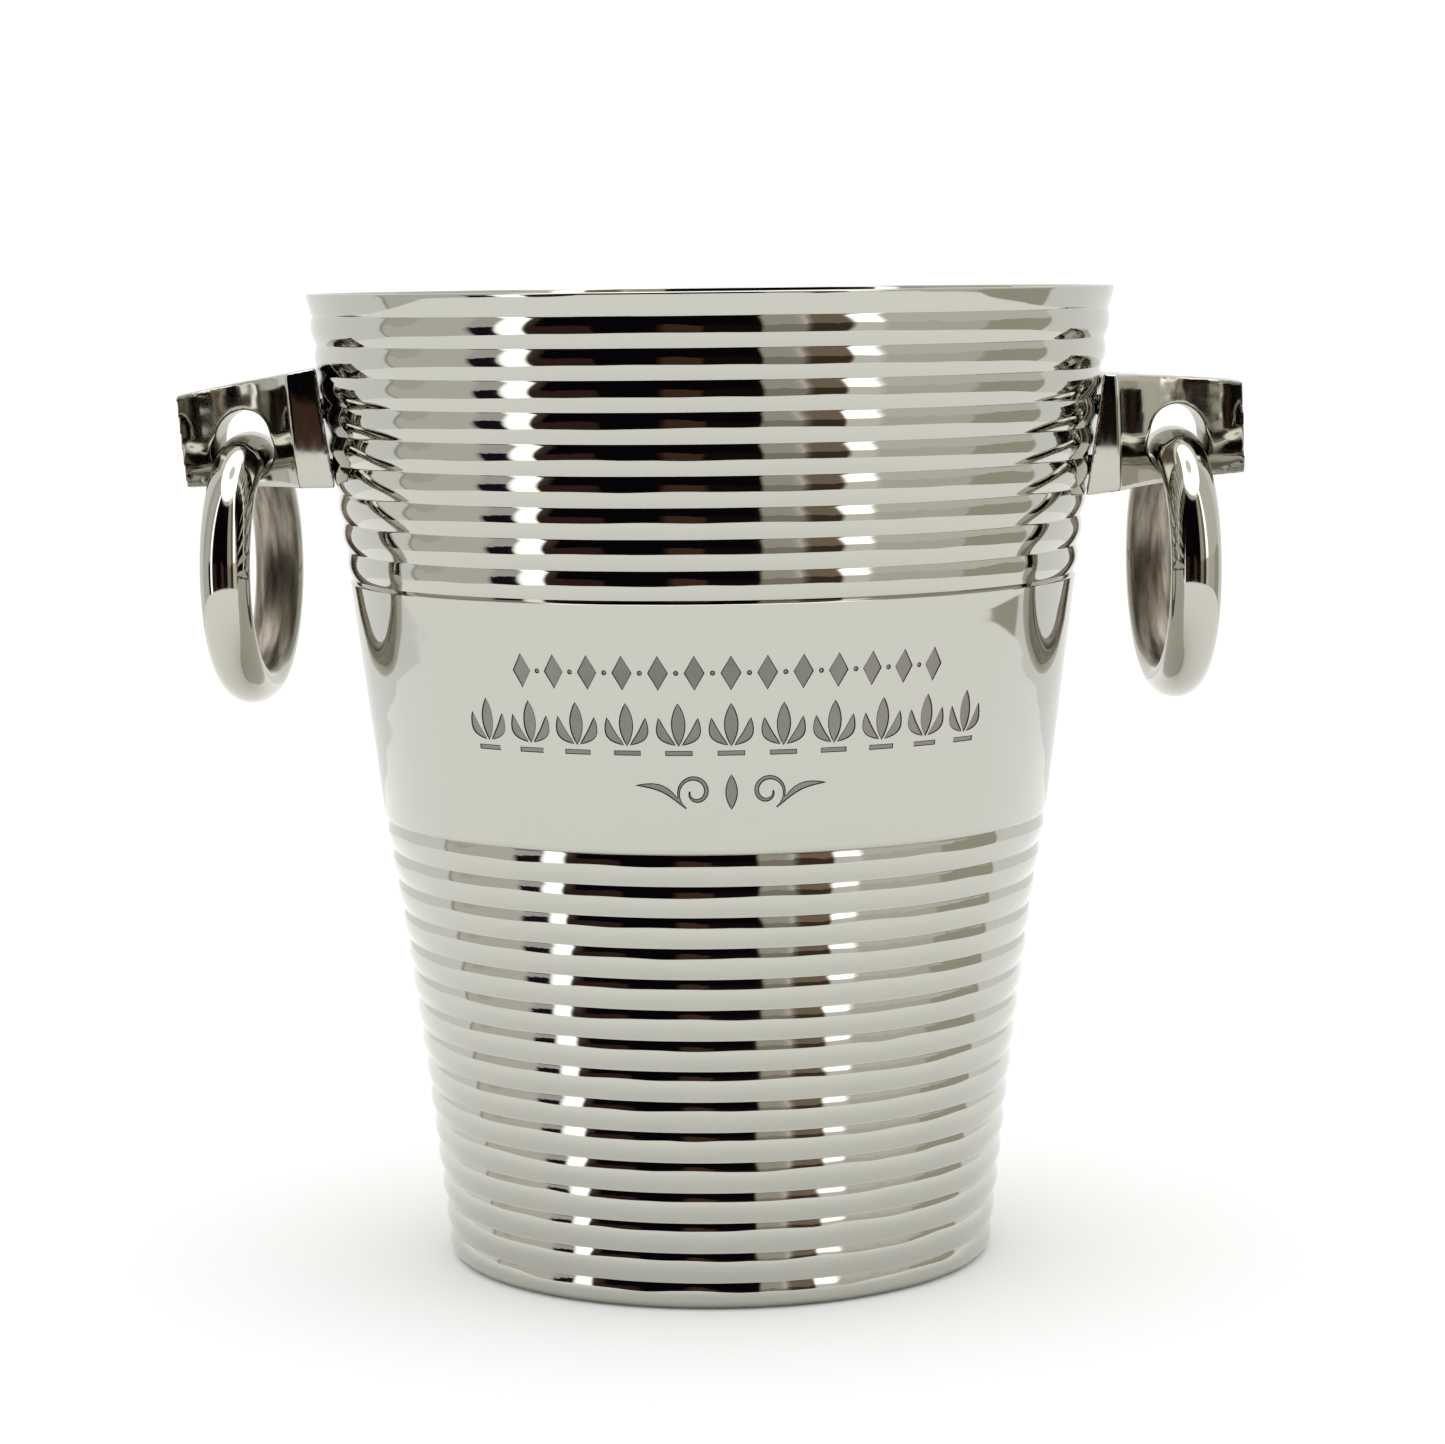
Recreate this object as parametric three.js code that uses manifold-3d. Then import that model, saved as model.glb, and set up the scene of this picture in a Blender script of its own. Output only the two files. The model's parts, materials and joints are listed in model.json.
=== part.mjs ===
// Ribbed champagne bucket with two lugs and two loose ring handles. Millimetres, +Z up.
// The origin is the middle of the flat base, on the plane it stands on. The handles lie along X,
// and the plain band's front faces -Y.
import * as THREE from 'three';
import { mergeVertices } from 'three/addons/utils/BufferGeometryUtils.js';
import Module from 'manifold-3d';

// Bucket shell
const HEIGHT = 242;
const RIM_RADIUS = 100;
const BAND_TOP_RADIUS = 90.4;
const BAND_BOTTOM_RADIUS = 82.8;
const FOOT_RADIUS = 69.0;
const LOWER_BOW = 0.6; // how far the lower wall is drawn in at half its height
const WALL = 2.2; // from the bottom of a groove to the inside
const FLOOR = 3.5;
const BAND_BOTTOM_Z = 111.8;
const BAND_HEIGHT = 59.4;
const UPPER_RIBS = 9;
const LOWER_RIBS = 14;
const RIB_HEIGHT = 0.7;
const RIB_SHOULDERS = [0.3, 0.7]; // shares of a rib's pitch where it is close to its full height
const RIB_SHOULDER_RISE = 0.92; // share of the rib's height there
const RIM_HEIGHT = 5.4; // the lip and the half rib under it
const LIP_HEIGHT = 2.0;
const LIP_STEP = 0.4;
const LIP_OVERHANG = 1.3; // from the first groove out to the lip
const FOOT_HEIGHT = 6.9;
const FOOT_CORNER = 4.2;
const FOOT_INSET = 0.4; // from the lower wall in to the foot's plain corner
const INNER_CORNER = 9;

// Ring handles
const RING_OUTER_RADIUS = 34;
const RING_HALF_WIDTH = 6.2;
const RING_OUTER_BULGE = 5.9; // the polished outer face, from the widest line
const RING_INNER_BULGE = 3.3; // the flatter inner face, from the widest line
const RING_SQUARENESS = 0.72; // under 1 fills out the corners of the inner face
const RING_TUBE_HALF = (RING_OUTER_BULGE + RING_INNER_BULGE) / 2;
const RING_DROP = RING_OUTER_RADIUS - RING_TUBE_HALF; // from the hinge to the ring's middle
const RING_CLEARANCE = 0.45;
const HINGE_BELOW_RIM = 39.1;
const HINGE_FROM_WALL = 20.3; // from the rib crests at that height
const HOLE_RISE = 3.1; // the free height above the ring's tube

// Lugs
const LUG_CREASE_OUT = 2.95; // from the hinge to the crease of the waist
const LUG_END_HALF_DEPTH = 14.5;
const LUG_WAIST_HALF_DEPTH = 5;
const LUG_FLANGE_HALF_DEPTH = 16;
const LUG_MIDDLE_RISE = 3.95; // the lug's middle above the hinge
const LUG_HALF_HEIGHT = 12.95; // at the hinge
const LUG_TAPER = 0.098; // change of the half height for each millimetre outwards
const LUG_FLARE_SAG = 2.2; // how hollow each flare is
const LUG_GAP = 0.3; // fitting gap between the lug and the rib crests
const WALL_SPACE_MARGIN = 20; // how far the space cut for the wall runs past the lug's height

// Fixing screws
const SCREW_RADIUS = 2.5;
const SCREW_HOLE_CLEARANCE = 0.3;
const SCREW_LENGTH = 13;
const SCREW_HEAD_RADIUS = 4.7;
const SCREW_HEAD_HEIGHT = 3.0;
const SCREW_DOME = [[0.55, 0.08], [0.88, 0.4], [1, 0.75]]; // shares of the head's radius and height
const SCREW_POINT = 0.3; // share of the radius that the shank's end is broken by
const SCREW_SLOT_WIDTH = 1.2;
const SCREW_SLOT_DEPTH = 1.3;
const SCREW_SPACING = 15;
const SCREW_MIDDLE_RISE = 3.6; // the middle of the pair above the hinge
const WASHER_RADIUS = 5.6;
const WASHER_THICKNESS = 1.0;
const SEAT_GAP = 0.3;

// Each lug is drilled and ground to its place by hand, so the two differ a little: the turn of the
// hole in degrees, which stands the front of each ring outwards, its height, its lean in degrees,
// the thickness of its flange and its reach beyond the hinge.
const SIDES = [
  { name: 'left', turn: Math.PI, skew: -7.5, rise: 0.6, tilt: 5.0, flange: 7.8, out: 15.05 },
  { name: 'right', turn: 0, skew: 5.4, rise: -0.6, tilt: -1.9, flange: 5.6, out: 16.1 },
];

// How finely curves are cut
const AROUND = 48;
const TURN_STEPS = 24;
const SECTION_STEPS = 16;
const HOLE_STEPS = 10;
const MOUTH_STEPS = 6;
const FLARE_STEPS = 6;
const BAND_TOP_Z = BAND_BOTTOM_Z + BAND_HEIGHT;
const FIRST_GROOVE_Z = HEIGHT - RIM_HEIGHT;
const degrees = THREE.MathUtils.degToRad;

const wasm = await Module();
wasm.setup();

/** A closed three.js geometry as a solid that can be cut. */
function solidOf(geometry) {
  const bare = geometry.clone();
  bare.deleteAttribute('normal');
  bare.deleteAttribute('uv');
  const merged = mergeVertices(bare, 1e-4);
  return new wasm.Manifold(new wasm.Mesh({
    numProp: 3,
    vertProperties: new Float32Array(merged.attributes.position.array),
    triVerts: new Uint32Array(merged.index.array),
  }));
}

/** A cut solid as a three.js geometry. */
function geometryOf(solid) {
  const mesh = solid.getMesh();
  const geometry = new THREE.BufferGeometry();
  geometry.setAttribute('position', new THREE.BufferAttribute(mesh.vertProperties, 3));
  geometry.setIndex(new THREE.BufferAttribute(mesh.triVerts, 1));
  geometry.computeVertexNormals();
  return geometry;
}

/** A turned solid about +Z from [radius, height] pairs. */
function turned(profile, steps) {
  const points = profile.map(([radius, height]) => new THREE.Vector2(radius, height));
  return new THREE.LatheGeometry(points, steps).rotateX(Math.PI / 2);
}

/** A closed outline from [x, y] pairs, drawn out along +Z from zero. */
function drawnOut(outline, depth) {
  const shape = new THREE.Shape(outline.map(([x, y]) => new THREE.Vector2(x, y)));
  return new THREE.ExtrudeGeometry(shape, { depth, bevelEnabled: false, curveSegments: 6 });
}

/** Radius of the wall's groove line at a height. */
function grooveRadius(z) {
  const bandTop = BAND_TOP_RADIUS - RIB_HEIGHT;
  const bandBottom = BAND_BOTTOM_RADIUS - RIB_HEIGHT;
  const lineBetween = THREE.MathUtils.mapLinear;
  if (z >= BAND_TOP_Z) {
    return lineBetween(z, BAND_TOP_Z, FIRST_GROOVE_Z, bandTop, RIM_RADIUS - LIP_OVERHANG);
  }
  if (z >= BAND_BOTTOM_Z) {
    return lineBetween(z, BAND_BOTTOM_Z, BAND_TOP_Z, bandBottom, bandTop);
  }
  const share = (z - FOOT_HEIGHT) / (BAND_BOTTOM_Z - FOOT_HEIGHT);
  const bow = share > 0 ? LOWER_BOW * Math.sin(Math.PI * share) : 0;
  return lineBetween(share, 0, 1, FOOT_RADIUS - RIB_HEIGHT, bandBottom) - bow;
}

/** Ribs between two heights: each rises from a groove to its crest and back. */
function ribs(bottom, top, count) {
  const points = [];
  for (let rib = 0; rib < count; rib += 1) {
    for (const share of [0, ...RIB_SHOULDERS]) {
      const z = bottom + ((rib + share) / count) * (top - bottom);
      points.push([grooveRadius(z) + (share > 0 ? RIB_HEIGHT * RIB_SHOULDER_RISE : 0), z]);
    }
  }
  return points;
}

/** A quarter round about a centre, from one angle to another in degrees. */
function corner(centre, radius, from, to, steps = 4) {
  const points = [];
  for (let step = 0; step <= steps; step += 1) {
    const angle = degrees(from + ((to - from) * step) / steps);
    points.push([centre[0] + radius * Math.cos(angle), centre[1] + radius * Math.sin(angle)]);
  }
  return points;
}

/** The outer wall from the foot's corner to the lip, as [radius, height] pairs. */
function outerWall() {
  return [
    ...corner([FOOT_RADIUS - FOOT_CORNER - FOOT_INSET, FOOT_CORNER], FOOT_CORNER, -90, 0),
    ...ribs(FOOT_HEIGHT, BAND_BOTTOM_Z, LOWER_RIBS),
    [grooveRadius(BAND_BOTTOM_Z), BAND_BOTTOM_Z],
    [BAND_BOTTOM_RADIUS, BAND_BOTTOM_Z + RIB_HEIGHT],
    [BAND_TOP_RADIUS, BAND_TOP_Z - RIB_HEIGHT],
    ...ribs(BAND_TOP_Z, FIRST_GROOVE_Z, UPPER_RIBS),
    [RIM_RADIUS - LIP_OVERHANG, FIRST_GROOVE_Z],
    [RIM_RADIUS - LIP_STEP, FIRST_GROOVE_Z + RIB_HEIGHT * 2],
    [RIM_RADIUS - LIP_STEP, HEIGHT - LIP_HEIGHT],
    [RIM_RADIUS, HEIGHT - LIP_HEIGHT],
    [RIM_RADIUS, HEIGHT],
  ];
}

/** The inner wall from the rim down to the floor. */
function innerWall() {
  const floorRadius = grooveRadius(FLOOR + INNER_CORNER) - WALL;
  return [
    [grooveRadius(HEIGHT) - WALL, HEIGHT],
    [grooveRadius(BAND_TOP_Z) - WALL, BAND_TOP_Z],
    [grooveRadius(BAND_BOTTOM_Z) - WALL, BAND_BOTTOM_Z],
    [grooveRadius((BAND_BOTTOM_Z + FLOOR) / 2) - WALL, (BAND_BOTTOM_Z + FLOOR) / 2],
    ...corner([floorRadius - INNER_CORNER, FLOOR + INNER_CORNER], INNER_CORNER, 0, -90),
  ];
}

/** The space that the wall takes up, ribs and fitting gap included, for cutting the lugs. */
function wallSpace() {
  const radius = (z) => grooveRadius(z) + RIB_HEIGHT + LUG_GAP;
  const heights = [BAND_TOP_Z - WALL_SPACE_MARGIN, BAND_TOP_Z, HEIGHT + WALL_SPACE_MARGIN];
  const side = heights.map((z) => [radius(z), z]);
  return solidOf(turned([[0, heights[0]], ...side, [0, heights[2]]], AROUND * 2));
}

/** Where a handle's hinge is, in the handle's own frame: +X is outwards. */
function hingeOf(side) {
  const z = HEIGHT - HINGE_BELOW_RIM + side.rise;
  const level = HEIGHT - HINGE_BELOW_RIM;
  return new THREE.Vector3(grooveRadius(level) + RIB_HEIGHT + HINGE_FROM_WALL, 0, z);
}

/** The ring's cross section: a half oval outside and a flatter, squarer face inside. */
function ringSection() {
  const middle = RING_OUTER_RADIUS - RING_OUTER_BULGE;
  const points = [];
  for (let step = 0; step <= SECTION_STEPS; step += 1) {
    const angle = (step / SECTION_STEPS) * 2 * Math.PI;
    const across = Math.cos(angle);
    const out = Math.sin(angle);
    if (out >= 0) {
      points.push([middle + RING_OUTER_BULGE * out, RING_HALF_WIDTH * across]);
    } else {
      const wide = Math.sign(across) * Math.abs(across) ** RING_SQUARENESS;
      points.push([middle + RING_INNER_BULGE * out, RING_HALF_WIDTH * wide]);
    }
  }
  points[points.length - 1] = [...points[0]];
  return points.reverse();
}

/** The largest distance of the ring's section from the hinge line. */
function tubeReach() {
  return Math.max(...ringSection().map(([radius, across]) => Math.hypot(radius - RING_DROP, across)));
}

/** The lug's outline seen from above, from the bucket's axis outwards. */
function lugPlan(side) {
  const ridge = side.flange - HINGE_FROM_WALL;
  const flare = (from, to) => {
    const points = [];
    const length = Math.hypot(to[0] - from[0], to[1] - from[1]);
    const aside = [-(to[1] - from[1]) / length, (to[0] - from[0]) / length];
    for (let step = 1; step < FLARE_STEPS; step += 1) {
      const share = step / FLARE_STEPS;
      const sag = -LUG_FLARE_SAG * 4 * share * (1 - share);
      points.push([
        from[0] + (to[0] - from[0]) * share + aside[0] * sag,
        from[1] + (to[1] - from[1]) * share + aside[1] * sag,
      ]);
    }
    return points;
  };
  const start = [ridge, LUG_FLANGE_HALF_DEPTH];
  const crease = [LUG_CREASE_OUT, LUG_WAIST_HALF_DEPTH];
  const end = [side.out, LUG_END_HALF_DEPTH];
  const back = [-HINGE_FROM_WALL - LUG_FLANGE_HALF_DEPTH, LUG_FLANGE_HALF_DEPTH];
  const half = [back, start, ...flare(start, crease), crease, ...flare(crease, end), end];
  const mirrored = half.map(([x, y]) => [x, -y]).reverse();
  return [...half, ...mirrored].reverse();
}

/** The lug's outline seen from the front: it tapers outwards. */
function lugElevation(side) {
  const inner = -HINGE_FROM_WALL - LUG_FLANGE_HALF_DEPTH;
  const half = (x) => LUG_HALF_HEIGHT - LUG_TAPER * x;
  return [
    [inner, LUG_MIDDLE_RISE - half(inner)],
    [side.out, LUG_MIDDLE_RISE - half(side.out)],
    [side.out, LUG_MIDDLE_RISE + half(side.out)],
    [inner, LUG_MIDDLE_RISE + half(inner)],
  ];
}

/** The through hole that the ring hangs in: a slot along the hinge line with room above the tube,
 * eased at both mouths so that the ring's bend clears it at any angle. */
function lugHole(side) {
  const radius = tubeReach() + RING_CLEARANCE;
  const long = LUG_FLANGE_HALF_DEPTH * 4;
  const upper = corner([0, HOLE_RISE], radius, 0, 180, HOLE_STEPS);
  const lower = corner([0, 0], radius, 180, 360, HOLE_STEPS);
  const slot = solidOf(drawnOut([...upper, ...lower], long).translate(0, 0, -long / 2));
  const mouths = [[0, -LUG_FLANGE_HALF_DEPTH]];
  for (let step = -MOUTH_STEPS; step <= MOUTH_STEPS; step += 1) {
    const along = (step / MOUTH_STEPS) * LUG_FLANGE_HALF_DEPTH;
    const bend = RING_DROP - Math.sqrt(RING_DROP ** 2 - along ** 2);
    mouths.push([radius + bend, along]);
  }
  mouths.push([0, LUG_FLANGE_HALF_DEPTH]);
  const hole = geometryOf(slot.add(solidOf(turned(mouths, TURN_STEPS))));
  return solidOf(hole.rotateX(Math.PI / 2).rotateZ(degrees(side.skew)));
}

/** Lean of the upper wall from upright. */
function wallLean() {
  const run = grooveRadius(FIRST_GROOVE_Z) - grooveRadius(BAND_TOP_Z);
  return Math.atan2(run, FIRST_GROOVE_Z - BAND_TOP_Z);
}

/** Places of a lug's two screws, pointing outwards square to the wall. The washers bear on their
 * edges, because the inner wall is hollow behind them. */
function screwPlaces(hinge) {
  const hollow = WASHER_RADIUS * Math.tan(Math.PI / AROUND);
  return [-1, 1].map((way) => {
    const z = hinge.z + SCREW_MIDDLE_RISE + (way * SCREW_SPACING) / 2;
    const place = new THREE.Object3D();
    place.position.set(grooveRadius(z) - WALL - hollow, 0, z);
    place.rotation.set(0, Math.PI / 2 + wallLean(), 0);
    place.updateMatrix();
    return place.matrix;
  });
}

/** A round bar from one height to another on +Z, for a screw's hole. */
function bar(radius, from, to) {
  return turned([[0, from], [radius, from], [radius, to], [0, to]], TURN_STEPS);
}

function lugGeometry(hinge, side) {
  const tall = LUG_HALF_HEIGHT * 6;
  const deep = LUG_FLANGE_HALF_DEPTH * 4;
  const plan = solidOf(drawnOut(lugPlan(side), tall).translate(0, 0, -tall / 2));
  const elevation = drawnOut(lugElevation(side), deep).translate(0, 0, -deep / 2).rotateX(Math.PI / 2);
  const block = geometryOf(plan.intersect(solidOf(elevation)));
  block.rotateY(degrees(side.tilt));
  const placed = solidOf(block).subtract(lugHole(side));
  const standing = solidOf(geometryOf(placed).translate(hinge.x, hinge.y, hinge.z));
  const tap = bar(SCREW_RADIUS + SCREW_HOLE_CLEARANCE, 0, SCREW_LENGTH + SCREW_HOLE_CLEARANCE);
  const taps = screwPlaces(hinge).map((place) => solidOf(tap.clone().applyMatrix4(place)));
  return geometryOf(taps.reduce((rest, cut) => rest.subtract(cut), standing.subtract(wallSpace())));
}

function shellGeometry(hinges) {
  const profile = [[0, 0], ...outerWall(), ...innerWall(), [0, FLOOR]];
  const hole = bar(SCREW_RADIUS + SCREW_HOLE_CLEARANCE, -WALL, WALL * 3);
  const holes = hinges.flatMap(({ hinge, side }) => screwPlaces(hinge).map((place) => (
    solidOf(hole.clone().applyMatrix4(place).rotateZ(side.turn)))));
  const body = solidOf(turned(profile, AROUND));
  return geometryOf(holes.reduce((rest, cut) => rest.subtract(cut), body));
}

/** The head stands inside the bucket; the shank runs out through the washer, wall and lug. */
function screwGeometry() {
  const seat = -SEAT_GAP * 2 - WASHER_THICKNESS;
  const top = seat - SCREW_HEAD_HEIGHT;
  const profile = [
    [0, top],
    ...SCREW_DOME.map(([out, down]) => [SCREW_HEAD_RADIUS * out, top + SCREW_HEAD_HEIGHT * down]),
    [SCREW_HEAD_RADIUS, seat],
    [SCREW_RADIUS, seat],
    [SCREW_RADIUS, SCREW_LENGTH - SCREW_RADIUS * SCREW_POINT],
    [SCREW_RADIUS * (1 - SCREW_POINT), SCREW_LENGTH],
    [0, SCREW_LENGTH],
  ];
  const slotLength = SCREW_HEAD_RADIUS * 2.2;
  const slot = new THREE.BoxGeometry(slotLength, SCREW_SLOT_WIDTH, SCREW_SLOT_DEPTH * 2);
  slot.translate(0, 0, top);
  return geometryOf(solidOf(turned(profile, TURN_STEPS)).subtract(solidOf(slot)));
}

function washerGeometry() {
  const hole = SCREW_RADIUS + SCREW_HOLE_CLEARANCE;
  const back = -SEAT_GAP;
  const front = back - WASHER_THICKNESS;
  return turned([[hole, front], [WASHER_RADIUS, front], [WASHER_RADIUS, back], [hole, back],
    [hole, front]], TURN_STEPS);
}

function metal(color, roughness) {
  return new THREE.MeshStandardMaterial({ color, roughness, metalness: 1 });
}

function piece(name, geometry, material) {
  const mesh = new THREE.Mesh(geometry, material);
  mesh.name = name;
  return mesh;
}

const nickel = metal(0xd6d3ca, 0.08);
const castNickel = metal(0xc9c5bb, 0.16);
const steel = metal(0xb4b4b2, 0.3);
const washerSteel = metal(0xa6a7a6, 0.38);

const bucket = new THREE.Group();
const hinges = SIDES.map((side) => ({ side, hinge: hingeOf(side) }));
bucket.add(piece('bucket_shell', shellGeometry(hinges), nickel));

for (const { side, hinge } of hinges) {
  const handle = new THREE.Group();
  handle.rotation.z = side.turn;
  bucket.add(handle);
  handle.add(piece(`${side.name}_lug`, lugGeometry(hinge, side), castNickel));

  const ring = piece(`${side.name}_ring`, turned(ringSection(), AROUND), nickel);
  ring.rotation.set(0, Math.PI / 2, degrees(side.skew), 'ZYX');
  ring.position.set(hinge.x, hinge.y, hinge.z - RING_DROP);
  handle.add(ring);

  screwPlaces(hinge).forEach((place, index) => {
    const height = index === 0 ? 'lower' : 'upper';
    const screw = piece(`${side.name}_${height}_screw`, screwGeometry(), steel);
    const washer = piece(`${side.name}_${height}_washer`, washerGeometry(), washerSteel);
    for (const fastener of [screw, washer]) {
      fastener.applyMatrix4(place);
      handle.add(fastener);
    }
  });
}

export default bucket;
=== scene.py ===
"""A ribbed champagne bucket in polished nickel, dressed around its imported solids."""

import json
import logging
import math
from dataclasses import dataclass, field
from enum import Enum, IntEnum
from typing import Any, ClassVar, Iterable, Sequence

import bmesh
import bpy
import numpy as np
from mathutils import Matrix, Vector, noise
from mathutils.geometry import delaunay_2d_cdt


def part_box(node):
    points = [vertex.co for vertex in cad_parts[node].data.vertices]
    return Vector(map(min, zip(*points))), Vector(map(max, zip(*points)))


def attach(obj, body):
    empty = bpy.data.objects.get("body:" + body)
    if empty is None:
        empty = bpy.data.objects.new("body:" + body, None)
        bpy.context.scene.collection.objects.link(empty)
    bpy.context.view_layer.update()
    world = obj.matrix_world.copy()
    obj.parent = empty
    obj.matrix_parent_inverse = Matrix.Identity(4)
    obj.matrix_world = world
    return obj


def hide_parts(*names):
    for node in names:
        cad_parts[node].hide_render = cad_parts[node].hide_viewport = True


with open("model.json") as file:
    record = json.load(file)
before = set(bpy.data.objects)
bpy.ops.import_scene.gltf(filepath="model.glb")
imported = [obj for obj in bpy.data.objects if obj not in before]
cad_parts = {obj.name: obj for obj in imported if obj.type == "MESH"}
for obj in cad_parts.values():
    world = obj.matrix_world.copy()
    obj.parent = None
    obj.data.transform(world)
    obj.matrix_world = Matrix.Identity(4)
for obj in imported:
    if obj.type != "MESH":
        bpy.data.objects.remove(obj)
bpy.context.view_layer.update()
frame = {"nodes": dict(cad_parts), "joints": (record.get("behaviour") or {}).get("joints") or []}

logging.basicConfig(level=logging.INFO, format="%(name)s: %(message)s")
log = logging.getLogger("bucket")

MM = 0.001
DOUBLES = 1e-7  # metres within which two points are the same
Point = tuple[float, float]
Socket = bpy.types.NodeSocket
Tree = bpy.types.NodeTree
Object = bpy.types.Object


# ---------------------------------------------------------------- helpers


def linear(hex_colour: str, gain: float = 1.0) -> tuple[float, float, float, float]:
    """Turns an sRGB hex colour, "#rrggbb", into linear light with an alpha of one."""
    channels = [int(hex_colour[i : i + 2], 16) / 255 for i in (1, 3, 5)]
    red, green, blue = (c / 12.92 if c <= 0.04045 else ((c + 0.055) / 1.055) ** 2.4 for c in channels)
    return (red * gain, green * gain, blue * gain, 1.0)


def add_node(
    tree: Tree,
    kind: str,
    settings: dict[str, Any] | None = None,
    inputs: dict[str | int, Any] | None = None,
) -> bpy.types.Node:
    """Adds one node to a tree, sets it up and links it.

    Args:
        tree: The tree that gets the node.
        kind: The node's Blender type name.
        settings: The node's own properties and their values.
        inputs: Socket names or numbers with the values or output sockets that feed them.

    Returns:
        The new node.
    """
    node = tree.nodes.new(kind)
    for name, value in (settings or {}).items():
        setattr(node, name, value)
    for socket, value in (inputs or {}).items():
        if isinstance(value, Socket):
            tree.links.new(value, node.inputs[socket])
        else:
            node.inputs[socket].default_value = value
    return node


def sums(tree: Tree, operation: str, *values: Any) -> Socket:
    """Adds a maths node and gives its result."""
    node = add_node(tree, "ShaderNodeMath", {"operation": operation}, dict(enumerate(values)))
    return node.outputs[0]


def vector_sums(tree: Tree, operation: str, *values: Any) -> Socket:
    """Adds a vector maths node and gives its vector."""
    node = add_node(tree, "ShaderNodeVectorMath", {"operation": operation}, dict(enumerate(values)))
    return node.outputs[0]


def spread(tree: Tree, value: Socket, start: Sequence[Any], end: Sequence[Any]) -> Socket:
    """Stretches a value from the start range to the end range, and stops it at the ends."""
    inputs = dict(enumerate((value, *start, *end)))
    return add_node(tree, "ShaderNodeMapRange", inputs=inputs).outputs[0]


def speckle(tree: Tree, vector: Socket, scale: float, detail: float = 2.0) -> Socket:
    """Adds a noise texture and gives its value."""
    inputs = {"Vector": vector, "Scale": scale, "Detail": detail}
    return add_node(tree, "ShaderNodeTexNoise", inputs=inputs).outputs["Fac"]


def mixed(tree: Tree, share: Socket, first: Any, second: Any) -> Socket:
    """Adds a colour mix and gives its result."""
    inputs = {"Factor": share, 6: first, 7: second}
    return add_node(tree, "ShaderNodeMix", {"data_type": "RGBA"}, inputs).outputs[2]


def ramp(tree: Tree, value: Socket, stops: Sequence[tuple[float, tuple[float, ...]]]) -> Socket:
    """Adds a colour ramp with stops in rising order and gives its colour."""
    node = add_node(tree, "ShaderNodeValToRGB", inputs={"Fac": value})
    elements = node.color_ramp.elements
    while len(elements) < len(stops):
        elements.new(1.0)
    for element, (position, colour) in zip(elements, stops):
        element.position = position
        element.color = colour
    return node.outputs["Color"]


def mesh_object(name: str, vertices: Sequence[Any], faces: Sequence[Sequence[int]]) -> Object:
    """Makes an object at the origin from points in metres and links it to the scene."""
    mesh = bpy.data.meshes.new(name)
    mesh.from_pydata([tuple(v) for v in vertices], [], [tuple(f) for f in faces])
    mesh.validate()
    obj = bpy.data.objects.new(name, mesh)
    bpy.context.scene.collection.objects.link(obj)
    return obj


def mark(obj: Object, name: str, kind: str, values: Sequence[float]) -> None:
    """Gives an object's points a named value each, for a finish or a tree to read."""
    store = obj.data.attributes.new(name, kind, "POINT").data
    store.foreach_set("value" if kind == "FLOAT" else "vector", values)


def settle(obj: Object) -> None:
    """Turns an object's modifiers into plain mesh and removes them."""
    graph = bpy.context.evaluated_depsgraph_get()
    mesh = bpy.data.meshes.new_from_object(obj.evaluated_get(graph))
    obj.modifiers.clear()
    obj.data = mesh


def shade(obj: Object, sharp_over: float) -> None:
    """Shades an object smooth, but for the edges that turn more than an angle in degrees."""
    obj.data.polygons.foreach_set("use_smooth", [True] * len(obj.data.polygons))
    obj.data.set_sharp_from_angle(angle=math.radians(sharp_over))


def part_finishes(obj: Object) -> None:
    """Sharpens the edges where one finish meets another, so that none shades into the next."""
    work = bmesh.new()
    work.from_mesh(obj.data)
    for edge in work.edges:
        if len({face.material_index for face in edge.link_faces}) > 1:
            edge.smooth = False
    work.to_mesh(obj.data)
    work.free()


def face_outwards(obj: Object) -> None:
    """Merges an object's doubles and turns its faces outwards."""
    work = bmesh.new()
    work.from_mesh(obj.data)
    bmesh.ops.remove_doubles(work, verts=work.verts, dist=DOUBLES)
    bmesh.ops.recalc_face_normals(work, faces=work.faces)
    work.to_mesh(obj.data)
    work.free()


def belt(rows: int, steps: int) -> list[tuple[int, ...]]:
    """The faces of a closed profile of some rows that is repeated round a ring."""
    faces = []
    for step in range(steps):
        here, there = step * rows, ((step + 1) % steps) * rows
        for row in range(rows):
            after = (row + 1) % rows
            faces.append((here + row, there + row, there + after, here + after))
    return faces


def turned(name: str, profile: Sequence[Point], steps: int) -> Object:
    """Turns a closed profile about +Z into a ring or, where it meets the axis, a solid.

    Args:
        name: The object's name.
        profile: Radius and height of each point in millimetres, in order.
        steps: How many times the profile is repeated round the axis.

    Returns:
        The turned object, its faces outwards.
    """
    angles = [2 * math.pi * step / steps for step in range(steps)]
    metres = [(r * MM, z * MM) for r, z in profile]
    vertices = [(r * math.cos(a), r * math.sin(a), z) for a in angles for r, z in metres]
    obj = mesh_object(name, vertices, belt(len(profile), steps))
    work = bmesh.new()
    work.from_mesh(obj.data)
    bmesh.ops.dissolve_degenerate(work, dist=DOUBLES, edges=work.edges)
    work.to_mesh(obj.data)
    work.free()
    face_outwards(obj)
    return obj


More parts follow.
